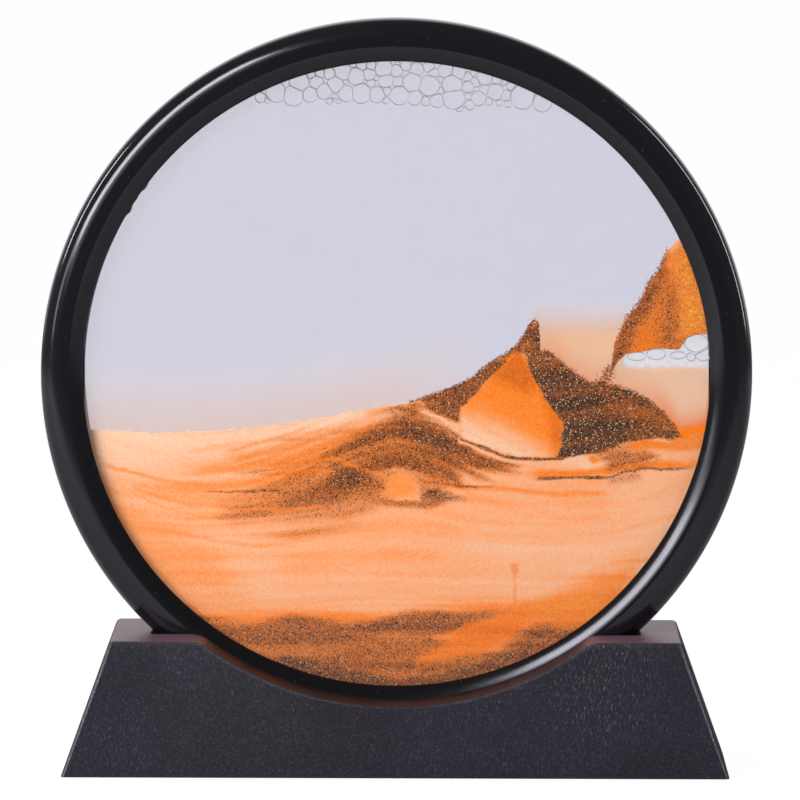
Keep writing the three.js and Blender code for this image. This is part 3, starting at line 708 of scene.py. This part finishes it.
for piece, node, slot in ((bed, "dune_sand", "pale_sand"), (heap, "peak_sand", "dark_sand"),
                          (hung, "hanging_sand", "orange_sand")):
    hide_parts(node)

# Liquid: water with a little oil and dye that fills the cell above the sand, pale lavender.
# It is a slab from under the sand's top line to the wall, and fine sand hangs in it as a peach haze at the
# right. Part of its colour is a painted glow, emitted and not lit, which also fills the ring's shadow on it.
HEAP_LEFT, HEAP_RIGHT = 0, 73.4
BELOW_ALL = -90
CLOUD_TOP, CLOUD_FULL = 18, 8
CLOUD_EDGE, CLOUD_INSIDE = 32.5, 35
GLOW_RUN = [34, 40, 50, 60, 66, 72]
GLOW_SHARE = [0, 0.5, 0.5, 0.35, 0.65, 1.3]
LIQUID_DEPTH, LIQUID_BEND = 1.35, 0.1
LIQUID_SHARES = ("haze", "glow", "air")
# The share of the liquid's colour that is painted glow: emitted, so it shows without light.
SELF_GLOW_SHARE = 0.45


def ground(x):
    """The top of bed and heap together."""
    on_heap = (x > HEAP_LEFT) & (x < HEAP_RIGHT)
    return np.maximum(bed_line(x), np.where(on_heap, heap_line(x), BELOW_ALL))


class LiquidPicture:
    """Shares of haze, of orange in that haze and of the clear gap under the hanging heap, at points x, z
    in mm from the ring's axis."""

    def __init__(self, x, z):
        fringe = 0.5 * drift(x, z, 4.0, 3.0, 21) + 0.4 * drift(x, z, 1.6, 1.4, 22)
        above = z - ground(x)
        cloud = eased(z + 0.3 * fringe, CLOUD_TOP, CLOUD_FULL) * eased(x, CLOUD_EDGE, CLOUD_INSIDE)
        cloud = cloud * (0.83 - 0.08 * eased(z, 8, 1))
        low_mist = 0.3 * eased(above, 20, 0) ** 2 * eased(x, 24, -8)
        reach = np.interp(x, GLOW_RUN, GLOW_SHARE)
        self.glow = np.minimum(eased(above + fringe, 9, -1) ** 1.3 * reach, 1)
        self.haze = np.maximum(np.maximum(cloud, low_mist), self.glow)
        self.air = eased(z, 1.5, 2.0) * eased(z, 11.5, 9) * eased(x, 56, 57.6)


liquid = slab("oily_water", lambda x: -cell_wall(x), lambda x: np.minimum(bed_line(x) - 1.0, -cell_wall(x)),
              np.linspace(-78.1, 78.1, 210), front_rows=90, rear_rows=60,
              depth=LIQUID_DEPTH, bend=LIQUID_BEND)
paint(liquid, LiquidPicture, LIQUID_SHARES)
water = start_finish("lavender_water")
haze, glow, air = (water.share(name) for name in LIQUID_SHARES)
swirl = water.node("TexCoord", out="Object").noise(60.0, 3.0)
dust = glow.mix(shade(247, 189, 134), shade(252, 130, 34))
tinted = (haze ** 0.5).mix(shade(148, 138, 190), dust)
body = air.mix(tinted, shade(214, 213, 230))
# Painted glow: the liquid emits part of its own colour, and its lit colour is dimmed by as much.
lay_finish(water.node("BsdfPrincipled", {}, {
    "Base Color": water.node("Mix", {"data_type": "RGBA"}, {0: SELF_GLOW_SHARE, 6: body, 7: (0, 0, 0, 1)}, out=2),
    "Emission Color": body,
    "Emission Strength": SELF_GLOW_SHARE,
    "Alpha": (0.25 + haze * (0.43 + swirl * 0.1) + glow * 0.25) * (1 - air * 0.4),
    "Roughness": swirl * 0.1 + 0.3,
    "Specular IOR Level": 0.0,
}), liquid)
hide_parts("liquid")

# Bubble foam: a raft of air bubbles that floats against the top of the cell, each pressed flat on its
# neighbours. A bubble is a film wall from pane to pane, thicker where it wets the glass.
# FOAM gives the x and z of each bubble's middle from the ring's axis and its radius, in mm.
FOAM = np.array([
    (-34.1, 69.0, 1.2), (-32.4, 68.2, 0.6), (-30.2, 70.3, 2.3), (-25.9, 69.5, 2.4), (-24.4, 72.8, 2.3),
    (-21.8, 69.8, 1.8), (-21.3, 74.5, 0.9), (-20.1, 72.8, 1.6), (-19.2, 74.9, 1.1), (-18.2, 70.6, 1.9),
    (-16.9, 68.1, 0.7), (-16.8, 74.9, 1.4), (-15.8, 69.4, 0.6), (-15.8, 68.3, 0.4), (-15.4, 72.3, 1.9),
    (-14.6, 68.1, 0.6), (-13.5, 75.4, 2.0), (-12.9, 73.1, 0.7), (-12.7, 70.0, 1.9), (-10.7, 77.0, 0.6),
    (-10.2, 74.3, 2.1), (-9.0, 70.1, 2.3), (-8.9, 76.9, 1.2), (-8.0, 73.2, 0.6), (-7.1, 74.8, 1.5),
    (-6.5, 72.6, 1.0), (-6.4, 76.9, 1.2), (-5.2, 74.0, 0.7), (-5.1, 69.8, 1.9), (-3.3, 76.2, 2.1),
    (-2.8, 73.4, 1.8), (-2.7, 68.3, 0.8), (-2.6, 70.6, 1.1), (-0.2, 75.7, 1.5), (0.1, 77.5, 0.6),
    (0.2, 73.0, 1.3), (0.6, 69.6, 2.2), (2.1, 77.0, 1.3), (2.1, 74.9, 0.9), (3.8, 72.8, 2.3),
    (4.4, 69.1, 1.8), (4.9, 76.1, 1.6), (7.1, 68.2, 1.1), (7.9, 76.7, 1.3), (8.0, 72.0, 2.4),
    (9.0, 75.2, 1.2), (9.9, 68.3, 1.6), (10.9, 73.5, 0.8), (10.9, 72.1, 0.6), (11.0, 71.0, 0.9),
    (12.2, 75.7, 1.8), (13.7, 72.4, 2.4), (14.2, 68.8, 2.5), (15.2, 75.2, 1.8), (15.5, 66.4, 0.8),
    (16.8, 67.1, 0.5), (17.5, 74.2, 1.2), (17.7, 71.8, 1.4), (17.8, 69.4, 0.9), (18.2, 67.3, 1.2),
    (18.9, 75.1, 0.7), (19.5, 72.9, 1.2), (20.3, 68.9, 1.7), (21.8, 74.1, 1.8), (21.8, 71.0, 1.2),
    (22.9, 68.2, 0.9), (24.5, 70.5, 1.9), (24.9, 73.6, 1.2), (25.5, 67.8, 0.8), (26.6, 72.9, 0.7),
    (27.3, 69.6, 1.3), (27.7, 67.6, 0.9), (28.4, 71.9, 1.0), (31.2, 69.3, 2.8), (36.2, 68.0, 2.2)])
FOAM_WALL = 78.9
FOAM_SWELL = 1.12
FILM_STEPS = 64
FILM_DEPTH = 1.55
CORNER_POWER = 14


def bubble_walls(name, bubbles):
    """One closed film ring per bubble. Along each direction its reach is that of its own oval, of the cell
    wall and of the planes shared with its neighbours, whichever is least; a higher CORNER_POWER gives
    sharper corners between them. The film is thin at mid depth and flares at the panes."""
    centre, wide, high = bubbles[:, :2], bubbles[:, 2:3], bubbles[:, -1:]
    angle = np.linspace(0, 2 * np.pi, FILM_STEPS, endpoint=False)
    aim = np.stack([np.cos(angle), np.sin(angle)], -1)
    oval = wide * high / np.hypot(high * aim[:, 0], wide * aim[:, 1])
    inward = centre @ aim.T
    beyond = inward ** 2 + FOAM_WALL ** 2 - (centre ** 2).sum(-1)[:, None]
    to_wall = np.sqrt(np.maximum(beyond, 0.01)) - inward
    gap = centre[None, :] - centre[:, None]
    distance = np.linalg.norm(gap, axis=-1) + np.eye(len(centre))
    plane = (distance ** 2 + wide ** 2 - wide.T ** 2) / (2 * distance)
    facing = np.einsum("ijk,ak->ija", gap / distance[..., None], aim)
    near = (distance < wide + wide.T) & ~np.eye(len(centre), dtype=bool)
    shared = np.where(near[..., None], facing / np.maximum(plane, 0.15)[..., None], 0)
    limits = (1 / oval) ** CORNER_POWER + (1 / np.maximum(to_wall, 0.2)) ** CORNER_POWER
    limits += (np.clip(shared, 0, None) ** CORNER_POWER).sum(1)
    outer = np.array([-1, -0.93, -0.8, 0, 0.8, 0.93, 1])
    depth = np.concatenate([outer, outer[::-1]])
    flare = (0.024 + 0.03 * np.abs(depth) ** 8) * np.repeat([1, -1], len(outer))
    reach = (limits ** (-1 / CORNER_POWER))[..., None] - 0.04 + flare * np.minimum(wide, 1)[..., None]
    x = centre[:, 0, None, None] + reach * aim[:, 0, None]
    z = centre[:, 1, None, None] + reach * aim[:, 1, None] + AXIS_HEIGHT
    points = np.stack(np.broadcast_arrays(x, depth * FILM_DEPTH, z), -1) * MM
    one = grid_faces(FILM_STEPS, len(depth), (True, True))
    faces = one + FILM_STEPS * len(depth) * np.arange(len(centre))[:, None, None]
    return faced_piece(name, points.reshape(-1, 3), faces.reshape(-1, 4).tolist(), sharp=60)


foam = bubble_walls("bubble_raft", FOAM * (1, 1, FOAM_SWELL))
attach(foam, "floating_foam")
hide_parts("bubble_foam")

# Trapped bubbles: a row of large bubbles caught under the hanging heap, which holds the heap up.
# They are film walls like those of the foam, and turn with the frame.
TRAPPED = np.array([
    (60.0, 4.45, 2.3, 1.1), (64.9, 5.0, 2.4, 1.4), (70.4, 4.7, 2.0, 0.9),
    (73.7, 4.35, 1.1, 1.1), (76.7, 5.0, 1.9, 1.75), (75.0, 7.8, 3.0, 2.3)])
trapped = bubble_walls("trapped_row", TRAPPED)
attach(trapped, "frame")
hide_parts("trapped_bubbles")
film = start_finish("bubble_film")
streak = film.node("TexCoord", out="Object").noise(500.0)
lay_finish(film.node("BsdfPrincipled", {}, {
    "Base Color": streak.between(0.35, 0.65).mix(shade(186, 172, 164), shade(220, 212, 208)),
    "Roughness": streak * 0.2 + 0.1,
    "Alpha": streak * 0.3 + 0.54,
}), foam, trapped)

# Cushion rings: thin soft strips between the panes and the bezels, so that the glass doesn't rattle.
# They keep their CAD solids and get a black foam rubber finish.
moulded_finish("cushion_rubber", shade(30, 29, 29), shade(44, 42, 42), 0.75, 1300.0,
               nodes["front_cushion"], nodes["rear_cushion"])

# Bezels: the two halves of the ring, injection moulded in gloss black and snapped together at mid depth.
# A rounded shoulder runs to a crown, and a bevel that steepens, with turned marks, runs down to the glass.
RING_RADIUS = 89.0
CROWN_RADIUS = 82.7
HALF_DEPTH = 7.0
SEAM_LAND = 0.4
SHOULDER_FULLNESS = 2.8
BEVEL_START, BEVEL_LENGTH = 82.2, 4.15
LIP_BACK = 4.52
RING_STEPS = 640
shoulder = np.linspace(0, np.pi / 2, 26)
power = 2 / SHOULDER_FULLNESS
skin = np.stack([CROWN_RADIUS + (RING_RADIUS - CROWN_RADIUS) * np.cos(shoulder) ** power,
                 SEAM_LAND + (HALF_DEPTH - SEAM_LAND) * np.sin(shoulder) ** power], -1)
run = np.linspace(0, BEVEL_LENGTH, 25)[1:]
tilt = np.radians(np.interp(run, [0, 0.6, BEVEL_LENGTH], [0, 19.3, 40]))
bevel = np.stack([BEVEL_START - np.cumsum(np.cos(tilt)) * run[0],
                  HALF_DEPTH - np.cumsum(np.sin(tilt)) * run[0]], -1)
lip_bend = bevel[-1] + np.array([(-0.1, -0.06), (-0.16, -0.14), (-0.2, -0.25)])
lip = [(SIGHT_RADIUS, 4.8), (SIGHT_RADIUS, LIP_BACK)]
seam = [(88.7, 0.05), (88.86, 0.12), (88.97, 0.26)]
skin = np.concatenate([seam, skin, bevel, lip_bend, lip])


def bezel_half(name, node, side, pocket):
    """A profile of radius and depth carried round the ring's axis: the skin that shows, then the back of the
    lip and the wall of the pocket, of that radius, which takes the cell."""
    back = [(85.2, LIP_BACK), (pocket, 4.4), (pocket, 0.2), (pocket + 0.2, 0.05)]
    profile = np.concatenate([skin, back])
    angle = np.linspace(0, 2 * np.pi, RING_STEPS, endpoint=False)[:, None]
    points = round_surface(angle, profile[:, 0], side * profile[:, 1])
    piece = grid_piece(name, points, wrap=(True, True), sharp=28)
    # The turned marks cover the bevel and fade out towards the crown and the lip. The same share also
    # paints the bevel's black darker, as painted shade.
    x, y, z = places(piece)
    radius = np.hypot(x, z)
    turned = eased(radius, 82.4, 80.6) * eased(radius, SIGHT_RADIUS, 78.6) * eased(np.abs(y), 4.9, 5.2)
    give_share(piece.data, "turned", turned)
    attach(piece, "frame")
    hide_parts(node)
    return piece


front_ring = bezel_half("front_ring_half", "front_bezel", -1, 86.4)
rear_ring = bezel_half("rear_ring_half", "rear_bezel", 1, 85.4)
ring = start_finish("ring_black")
place = ring.node("TexCoord", out="Object")
centred = ring.node("Mapping", {}, {"Vector": place, "Location": (0, 0, -AXIS_HEIGHT * MM)})
across, upward = centred.axis("X"), centred.axis("Z")
from_axis = ring.node("Math", {"operation": "SQRT"}, {0: across * across + upward * upward})
turned = ring.share("turned")
marks = ring.node("TexNoise", {"noise_dimensions": "1D"}, {"W": from_axis, "Scale": 5200.0, "Detail": 3.0})
handling = place.noise(38.0, 4.0)
specks = ring.node("TexVoronoi", {}, {"Vector": place, "Scale": 330.0}, out="Distance").between(0.075, 0.03)
# Painted shade: the bevel's black is much darker than the rest of the same plastic.
black = turned.mix(shade(20, 19, 23), shade(7, 6, 7))
lay_finish(ring.node("BsdfPrincipled", {}, {
    "Base Color": (specks * 0.35).mix(black, shade(96, 95, 98)),
    "Roughness": handling.between(0.45, 0.75) * 0.05 + 0.13 + marks * turned * 0.05,
    "Normal": (marks * turned).relief(0.25, 0.06 * MM),
    "Specular IOR Level": 0.53,
    "Specular Tint": (0.9, 0.88, 1.0, 1.0),
}), front_ring, rear_ring)

# Base shell: one hollow moulding in charcoal plastic with fine pores. Its ends slope, its front and rear
# walls are scooped out along the ring, and a trough takes the ring's edge.
BASE_FOOT = 0.6
DECK = 34.7
FOOT_HALF, DECK_HALF = 83.23, 71.03
BASE_HALF_DEPTH = 22.0
SCOOP_RADIUS, TROUGH_RADIUS, TROUGH_HALF = 81.2, 89.3, 7.4
SHOULDER_BEND, CORNER_BEND = 8.0, 1.3
DECK_EDGE_BEND, END_EDGE_BEND = 0.28, 0.75
SLOT_HALF_LENGTH = 62.5
TROUGH_BEND, LIP_BEND = 0.5, 0.45
RECESS_HALF, RECESS_ROOF, RIM_WIDTH = 80.7, 3.3, 2.2


def base_stations():
    """The base's upper edge from the middle to the right foot: scoop arc, shoulder arc, deck, corner arc, end
    slope."""
    drop = AXIS_HEIGHT - DECK + SHOULDER_BEND
    bend_x = math.sqrt((SCOOP_RADIUS + SHOULDER_BEND) ** 2 - drop ** 2)
    meet = math.atan2(bend_x, drop)
    sweep = np.linspace(0, meet, 46)
    scoop = np.stack([SCOOP_RADIUS * np.sin(sweep), AXIS_HEIGHT - SCOOP_RADIUS * np.cos(sweep)], -1)
    sweep = np.linspace(meet, 0, 14)[1:]
    bend = np.stack([bend_x - SHOULDER_BEND * np.sin(sweep),
                     DECK - SHOULDER_BEND + SHOULDER_BEND * np.cos(sweep)], -1)
    lean = math.atan2(DECK - BASE_FOOT, FOOT_HALF - DECK_HALF)
    corner_x = DECK_HALF - CORNER_BEND * math.tan(lean / 2)
    deck = np.stack([np.linspace(bend_x, corner_x, 14)[1:], np.full(13, DECK)], -1)
    sweep = np.linspace(0, lean, 10)[1:]
    corner = np.stack([corner_x + CORNER_BEND * np.sin(sweep),
                       DECK - CORNER_BEND + CORNER_BEND * np.cos(sweep)], -1)
    down = np.array([0.03, 0.12, 0.3, 0.5, 0.7, 0.84, 0.925, 0.929, 0.97, 1])[:, None]
    slope = corner[-1] + (np.array([FOOT_HALF - 0.05, BASE_FOOT + 0.15]) - corner[-1]) * down
    return np.concatenate([scoop, bend, deck, corner, slope])


def base_skin():
    """Each station of the upper edge carries one closed loop of points: trough, lip, skin, rounded edge, wall
    down to the foot, rim and recess, then the same mirrored at the rear. Gives the points, and how much each
    is lightened at the rounded edge, partly by wear and partly as a painted highlight."""
    half = base_stations()
    path = np.concatenate([half[:0:-1] * (-1, 1), half])
    heading = np.gradient(path, axis=0)
    heading /= np.linalg.norm(heading, axis=1, keepdims=True)
    outward = np.stack([-heading[:, 1], heading[:, 0]], -1)
    x, z = path.T
    arc = AXIS_HEIGHT - np.sqrt(np.maximum(TROUGH_RADIUS ** 2 - x ** 2, 0))
    trough = np.where(np.abs(x) < SLOT_HALF_LENGTH, np.minimum(arc, z), z)
    deep = np.maximum(z - trough, 0)
    lip = np.minimum(deep, LIP_BEND)
    flat = [(0, x, trough), (TROUGH_HALF - TROUGH_BEND, x, trough),
            (TROUGH_HALF, x, trough + np.minimum(TROUGH_BEND, deep * 0.4)), (TROUGH_HALF, x, z - lip),
            (TROUGH_HALF + 0.12, x, z - lip * 0.3), (TROUGH_HALF + 0.4, x, z),
            (TROUGH_HALF + 1.2, x, z), (14, x, z), (20, x, z)]
    turn = np.linspace(0, np.pi / 2, 8)
    bend = np.interp(np.abs(x), [DECK_HALF - 1, DECK_HALF + 1], [DECK_EDGE_BEND, END_EDGE_BEND])
    inset = [(BASE_HALF_DEPTH - bend * (1 - math.sin(a)), bend * (1 - math.cos(a))) for a in turn]
    edge = [(y, x - outward[:, 0] * d, np.maximum(z - outward[:, 1] * d, BASE_FOOT)) for y, d in inset]
    _, wall_x, wall_z = edge[-1]
    wall = [(BASE_HALF_DEPTH, wall_x, wall_z + (BASE_FOOT - wall_z) * share)
            for share in (0.03, 0.15, 0.4, 0.7, 0.93, 1)]
    roof = np.where(np.abs(x) < RECESS_HALF, RECESS_ROOF, BASE_FOOT + 0.02)
    rim = BASE_HALF_DEPTH - RIM_WIDTH
    under = [(rim, wall_x, np.full_like(x, BASE_FOOT)), (rim - 0.02, wall_x, roof)]
    front = flat + edge + wall + under
    rear = [(-y, x, z) for y, x, z in front[:0:-1]]
    points = np.stack([np.stack(np.broadcast_arrays(x, -y, z), -1) for y, x, z in front + rear], 1) * MM
    # The rounded edge is lighter, most at the ends and least in the middle of the scoop:
    # partly wear from handling, partly a painted highlight.
    rubbed = np.zeros(len(front))
    rubbed[len(flat):len(flat) + len(edge)] = [0, 0, 0, 0.1, 0.3, 0.7, 1, 1]
    wear_and_highlight_along = np.interp(np.abs(x), [0, 20, 45, 55, 70, 72], [0.06, 0.25, 0.25, 0.1, 0.1, 1])
    return points, wear_and_highlight_along[:, None] * np.concatenate([rubbed, rubbed[:0:-1]])


shell_points, shell_edges = base_skin()
shell = grid_piece("base_moulding", shell_points, wrap=(False, True), caps=True, sharp=35,
                   shares={"rubbed": shell_edges})
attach(shell, "base")
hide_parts("base_shell")
charcoal = start_finish("charcoal_plastic")
place = charcoal.node("TexCoord", out="Object")
tall = charcoal.node("Mapping", {}, {"Vector": place, "Scale": (1.0, 1.0, 0.16)})
across, height = place.axis("X"), place.axis("Z")
normal = charcoal.node("NewGeometry", out="Normal")
facing_up = normal.axis("Z").between(0.75, 0.95)
sideways = normal.axis("X")
at_ends = (sideways * sideways).between(0.3, 0.8)
rubbed = charcoal.share("rubbed")
pores = tall.noise(3600.0, 2.0, 0.6).between(0.57, 0.72)
specks = place.noise(2800.0, 3.0, 0.65).between(0.52, 0.74)
clouds = place.noise(30.0, 5.0)
grain = place.noise(3200.0)
# Painted reflection: the deck's top face is painted lighter and purplish, as the room shows in it.
painted_deck_sheen = facing_up * height.between((DECK - 3) * MM, (DECK - 1) * MM) * 0.66
scuffed = across.between(36 * MM, 44 * MM) * (1 - across.between(54 * MM, 68 * MM))
scuffed = scuffed * height.between(4 * MM, 26 * MM)
# Painted sheen: the left part of the front face is painted lighter, in its pores and overall.
painted_left_sheen = across.between(-12 * MM, -34 * MM) * (1 - across.between(-50 * MM, -70 * MM))
# The pores show lighter in clouds, in the scuffed band, which is wear, and under the painted sheen.
pore_wear_and_sheen = pores * (clouds.between(0.42, 0.66) * 0.12 + scuffed * 0.34 + painted_left_sheen * 0.08)
light = pore_wear_and_sheen + specks * 0.16 + painted_left_sheen * 0.012
# The rounded edges are lighter: partly wear, partly a painted highlight along them.
light = light * (1 - facing_up * 0.85) + rubbed * (specks * 0.6 + 0.3)
moulding = clouds.between(0.3, 0.7).mix(shade(23, 23, 32), shade(29, 29, 40))
lay_finish(charcoal.node("BsdfPrincipled", {}, {
    "Base Color": light.mix(painted_deck_sheen.mix(moulding, shade(122, 94, 108)), shade(150, 150, 156)),
    "Roughness": 0.5 - facing_up * 0.16 + at_ends * 0.35 + grain * 0.12,
    "Normal": (grain - pores * 0.6).relief(0.2, 0.08 * MM),
    "Specular Tint": (1.0, 0.88, 0.96, 1.0),
    "Specular IOR Level": 0.29,
}), shell)

# Base plate, its four screws and four foot pads: a flat plate closes the base from below, held by small
# steel screws, and soft pads stand on the table. All keep their CAD solids.
moulded_finish("plate_plastic", shade(44, 44, 48), shade(54, 54, 58), 0.55, 1600.0, nodes["base_plate"])
corners = [f"{depth}_{hand}" for depth in ("front", "rear") for hand in ("left", "right")]
moulded_finish("pad_rubber", shade(30, 30, 31), shade(46, 45, 45), 0.8, 1200.0,
               *[nodes["foot_pad_" + corner] for corner in corners])
steel = start_finish("screw_steel")
turning = steel.node("TexCoord", out="Object").noise(2600.0, 3.0)
lay_finish(steel.node("BsdfPrincipled", {}, {
    "Base Color": turning.mix(shade(150, 150, 152), shade(205, 205, 208)),
    "Metallic": 1.0,
    "Roughness": turning * 0.25 + 0.22,
}), *[nodes["plate_screw_" + corner] for corner in corners])

# Studio: a plain white floor and six lamps. A key softbox at the upper left draws the long highlight on the
# ring, a weaker glow and a card beside it widen that, a broad fill stands in front, and a narrow strip behind
# on each side draws the thin edge lines.
FLOOR_HALF, FLOOR_NEAR, FLOOR_FAR = 2.4, -0.6, 5.6
floor_points = [(-FLOOR_HALF, FLOOR_NEAR, 0), (FLOOR_HALF, FLOOR_NEAR, 0),
                (FLOOR_HALF, FLOOR_FAR, 0), (-FLOOR_HALF, FLOOR_FAR, 0)]
floor_mesh = bpy.data.meshes.new("studio_floor")
floor_mesh.from_pydata(floor_points, [], [(0, 1, 2, 3)])
floor = bpy.data.objects.new("studio_floor", floor_mesh)
bpy.context.scene.collection.objects.link(floor)
paper = start_finish("white_paper")
fibres = paper.node("TexCoord", out="Object").noise(900.0)
path = paper.node("LightPath", out="Is Camera Ray")
lit = paper.node("BsdfDiffuse", {}, {"Color": fibres.mix((0.6, 0.6, 0.6, 1), (0.64, 0.64, 0.64, 1))})
glowing = paper.node("Emission", {}, {"Color": (1, 1, 1, 1), "Strength": 1.06})
lay_finish(paper.node("MixShader", {}, {0: path * 0.92, 1: lit, 2: glowing}), floor)


def stood(side, over, back, spot):
    """The place of a lamp or camera at a spot, with its own x, y and z along side, over and back."""
    turned = np.stack([side, over, back], -1)
    return Matrix([[*row, shift] for row, shift in zip(turned, spot)] + [[0, 0, 0, 1]])


def area_lamp(name, direction, distance, width, height, radiance, tilt=0.0, glossy=True):
    """A rectangular lamp that faces the middle of the ring, turned by tilt about its aim; its power is its
    radiance times its area times pi."""
    aim = np.array(direction, float) / np.linalg.norm(direction)
    lamp = bpy.data.lights.new(name, "AREA")
    lamp.shape = "RECTANGLE"
    lamp.size, lamp.size_y = width, height
    lamp.energy = radiance * width * height * math.pi
    made = bpy.data.objects.new(name, lamp)
    side = np.cross((0, 0, 1), aim)
    side /= np.linalg.norm(side)
    side = side * math.cos(tilt) + np.cross(aim, side) * math.sin(tilt)
    over = np.cross(aim, side)
    made.matrix_world = stood(side, over, aim, aim * distance + (0, 0, AXIS_HEIGHT * MM))
    made.visible_glossy = glossy
    bpy.context.scene.collection.objects.link(made)


area_lamp("key_softbox", (-0.535, -0.72, 0.445), 1.2, 0.72, 0.36, 15.0, tilt=1.01)
area_lamp("soft_glow", (-0.42, -0.85, 0.33), 1.2, 0.7, 0.35, 1.5, tilt=1.01)
area_lamp("left_card", (-0.77, -0.62, 0.17), 1.2, 0.42, 0.2, 4.2, tilt=1.3)
area_lamp("front_fill", (0.12, -0.95, 0.25), 2.0, 1.7, 1.5, 0.55, glossy=False)
area_lamp("right_strip", (0.9, 0.22, 0.4), 1.2, 0.12, 0.9, 11.0)
area_lamp("left_strip", (-0.92, 0.16, 0.43), 1.2, 0.1, 0.45, 22.0)

world = bpy.data.worlds.new("studio_world")
bpy.context.scene.world = world
world.use_nodes = True
world.node_tree.nodes.clear()
sky = Wire(world)
toward = sky.node("TexCoord", out="Generated")
away, over = toward.axis("Y"), toward.axis("Z")
room = 0.09 + away.between(-0.985, -0.72) * 0.11 * (1 - over.between(0.0, 0.7) * 0.5)
seen = sky.node("LightPath", out="Is Camera Ray") + sky.node("LightPath", out="Is Transmission Ray")
level = sky.math("MINIMUM", seen + away.between(0.55, 0.95) + room, 1.0)
backdrop = sky.node("Background", {}, {"Color": level.mix((0, 0, 0, 1), (1, 1, 1, 1)), "Strength": 1.0})
sky.node("OutputWorld", {}, {"Surface": backdrop})

# Camera: as the photograph was taken, from a little above, with a long lens.
# Its place and its three turns fit the outlines of the ring and the base in the photograph.
IMAGE_WIDTH, FOCAL_PIXELS, SENSOR = 800, 6619.03, 36.0
camera_data = bpy.data.cameras.new("photo_camera")
camera_data.sensor_width = SENSOR
camera_data.lens = FOCAL_PIXELS * SENSOR / IMAGE_WIDTH
camera_data.clip_end = 20
camera = bpy.data.objects.new("photo_camera", camera_data)
PITCH, YAW, ROLL = -0.09893, -0.0069, 0.00209
CAMERA_PLACE = np.array([12.275, -1650.0, 256.73]) * MM
ahead = np.array([math.sin(YAW) * math.cos(PITCH), math.cos(YAW) * math.cos(PITCH), math.sin(PITCH)])
level_right = np.array([math.cos(YAW), -math.sin(YAW), 0])
level_up = np.cross(level_right, ahead)
right = math.cos(ROLL) * level_right + math.sin(ROLL) * level_up
up = math.cos(ROLL) * level_up - math.sin(ROLL) * level_right
camera.matrix_world = stood(right, up, -ahead, CAMERA_PLACE)
bpy.context.scene.collection.objects.link(camera)
bpy.context.scene.camera = camera
bpy.context.scene.view_settings.view_transform = "Standard"
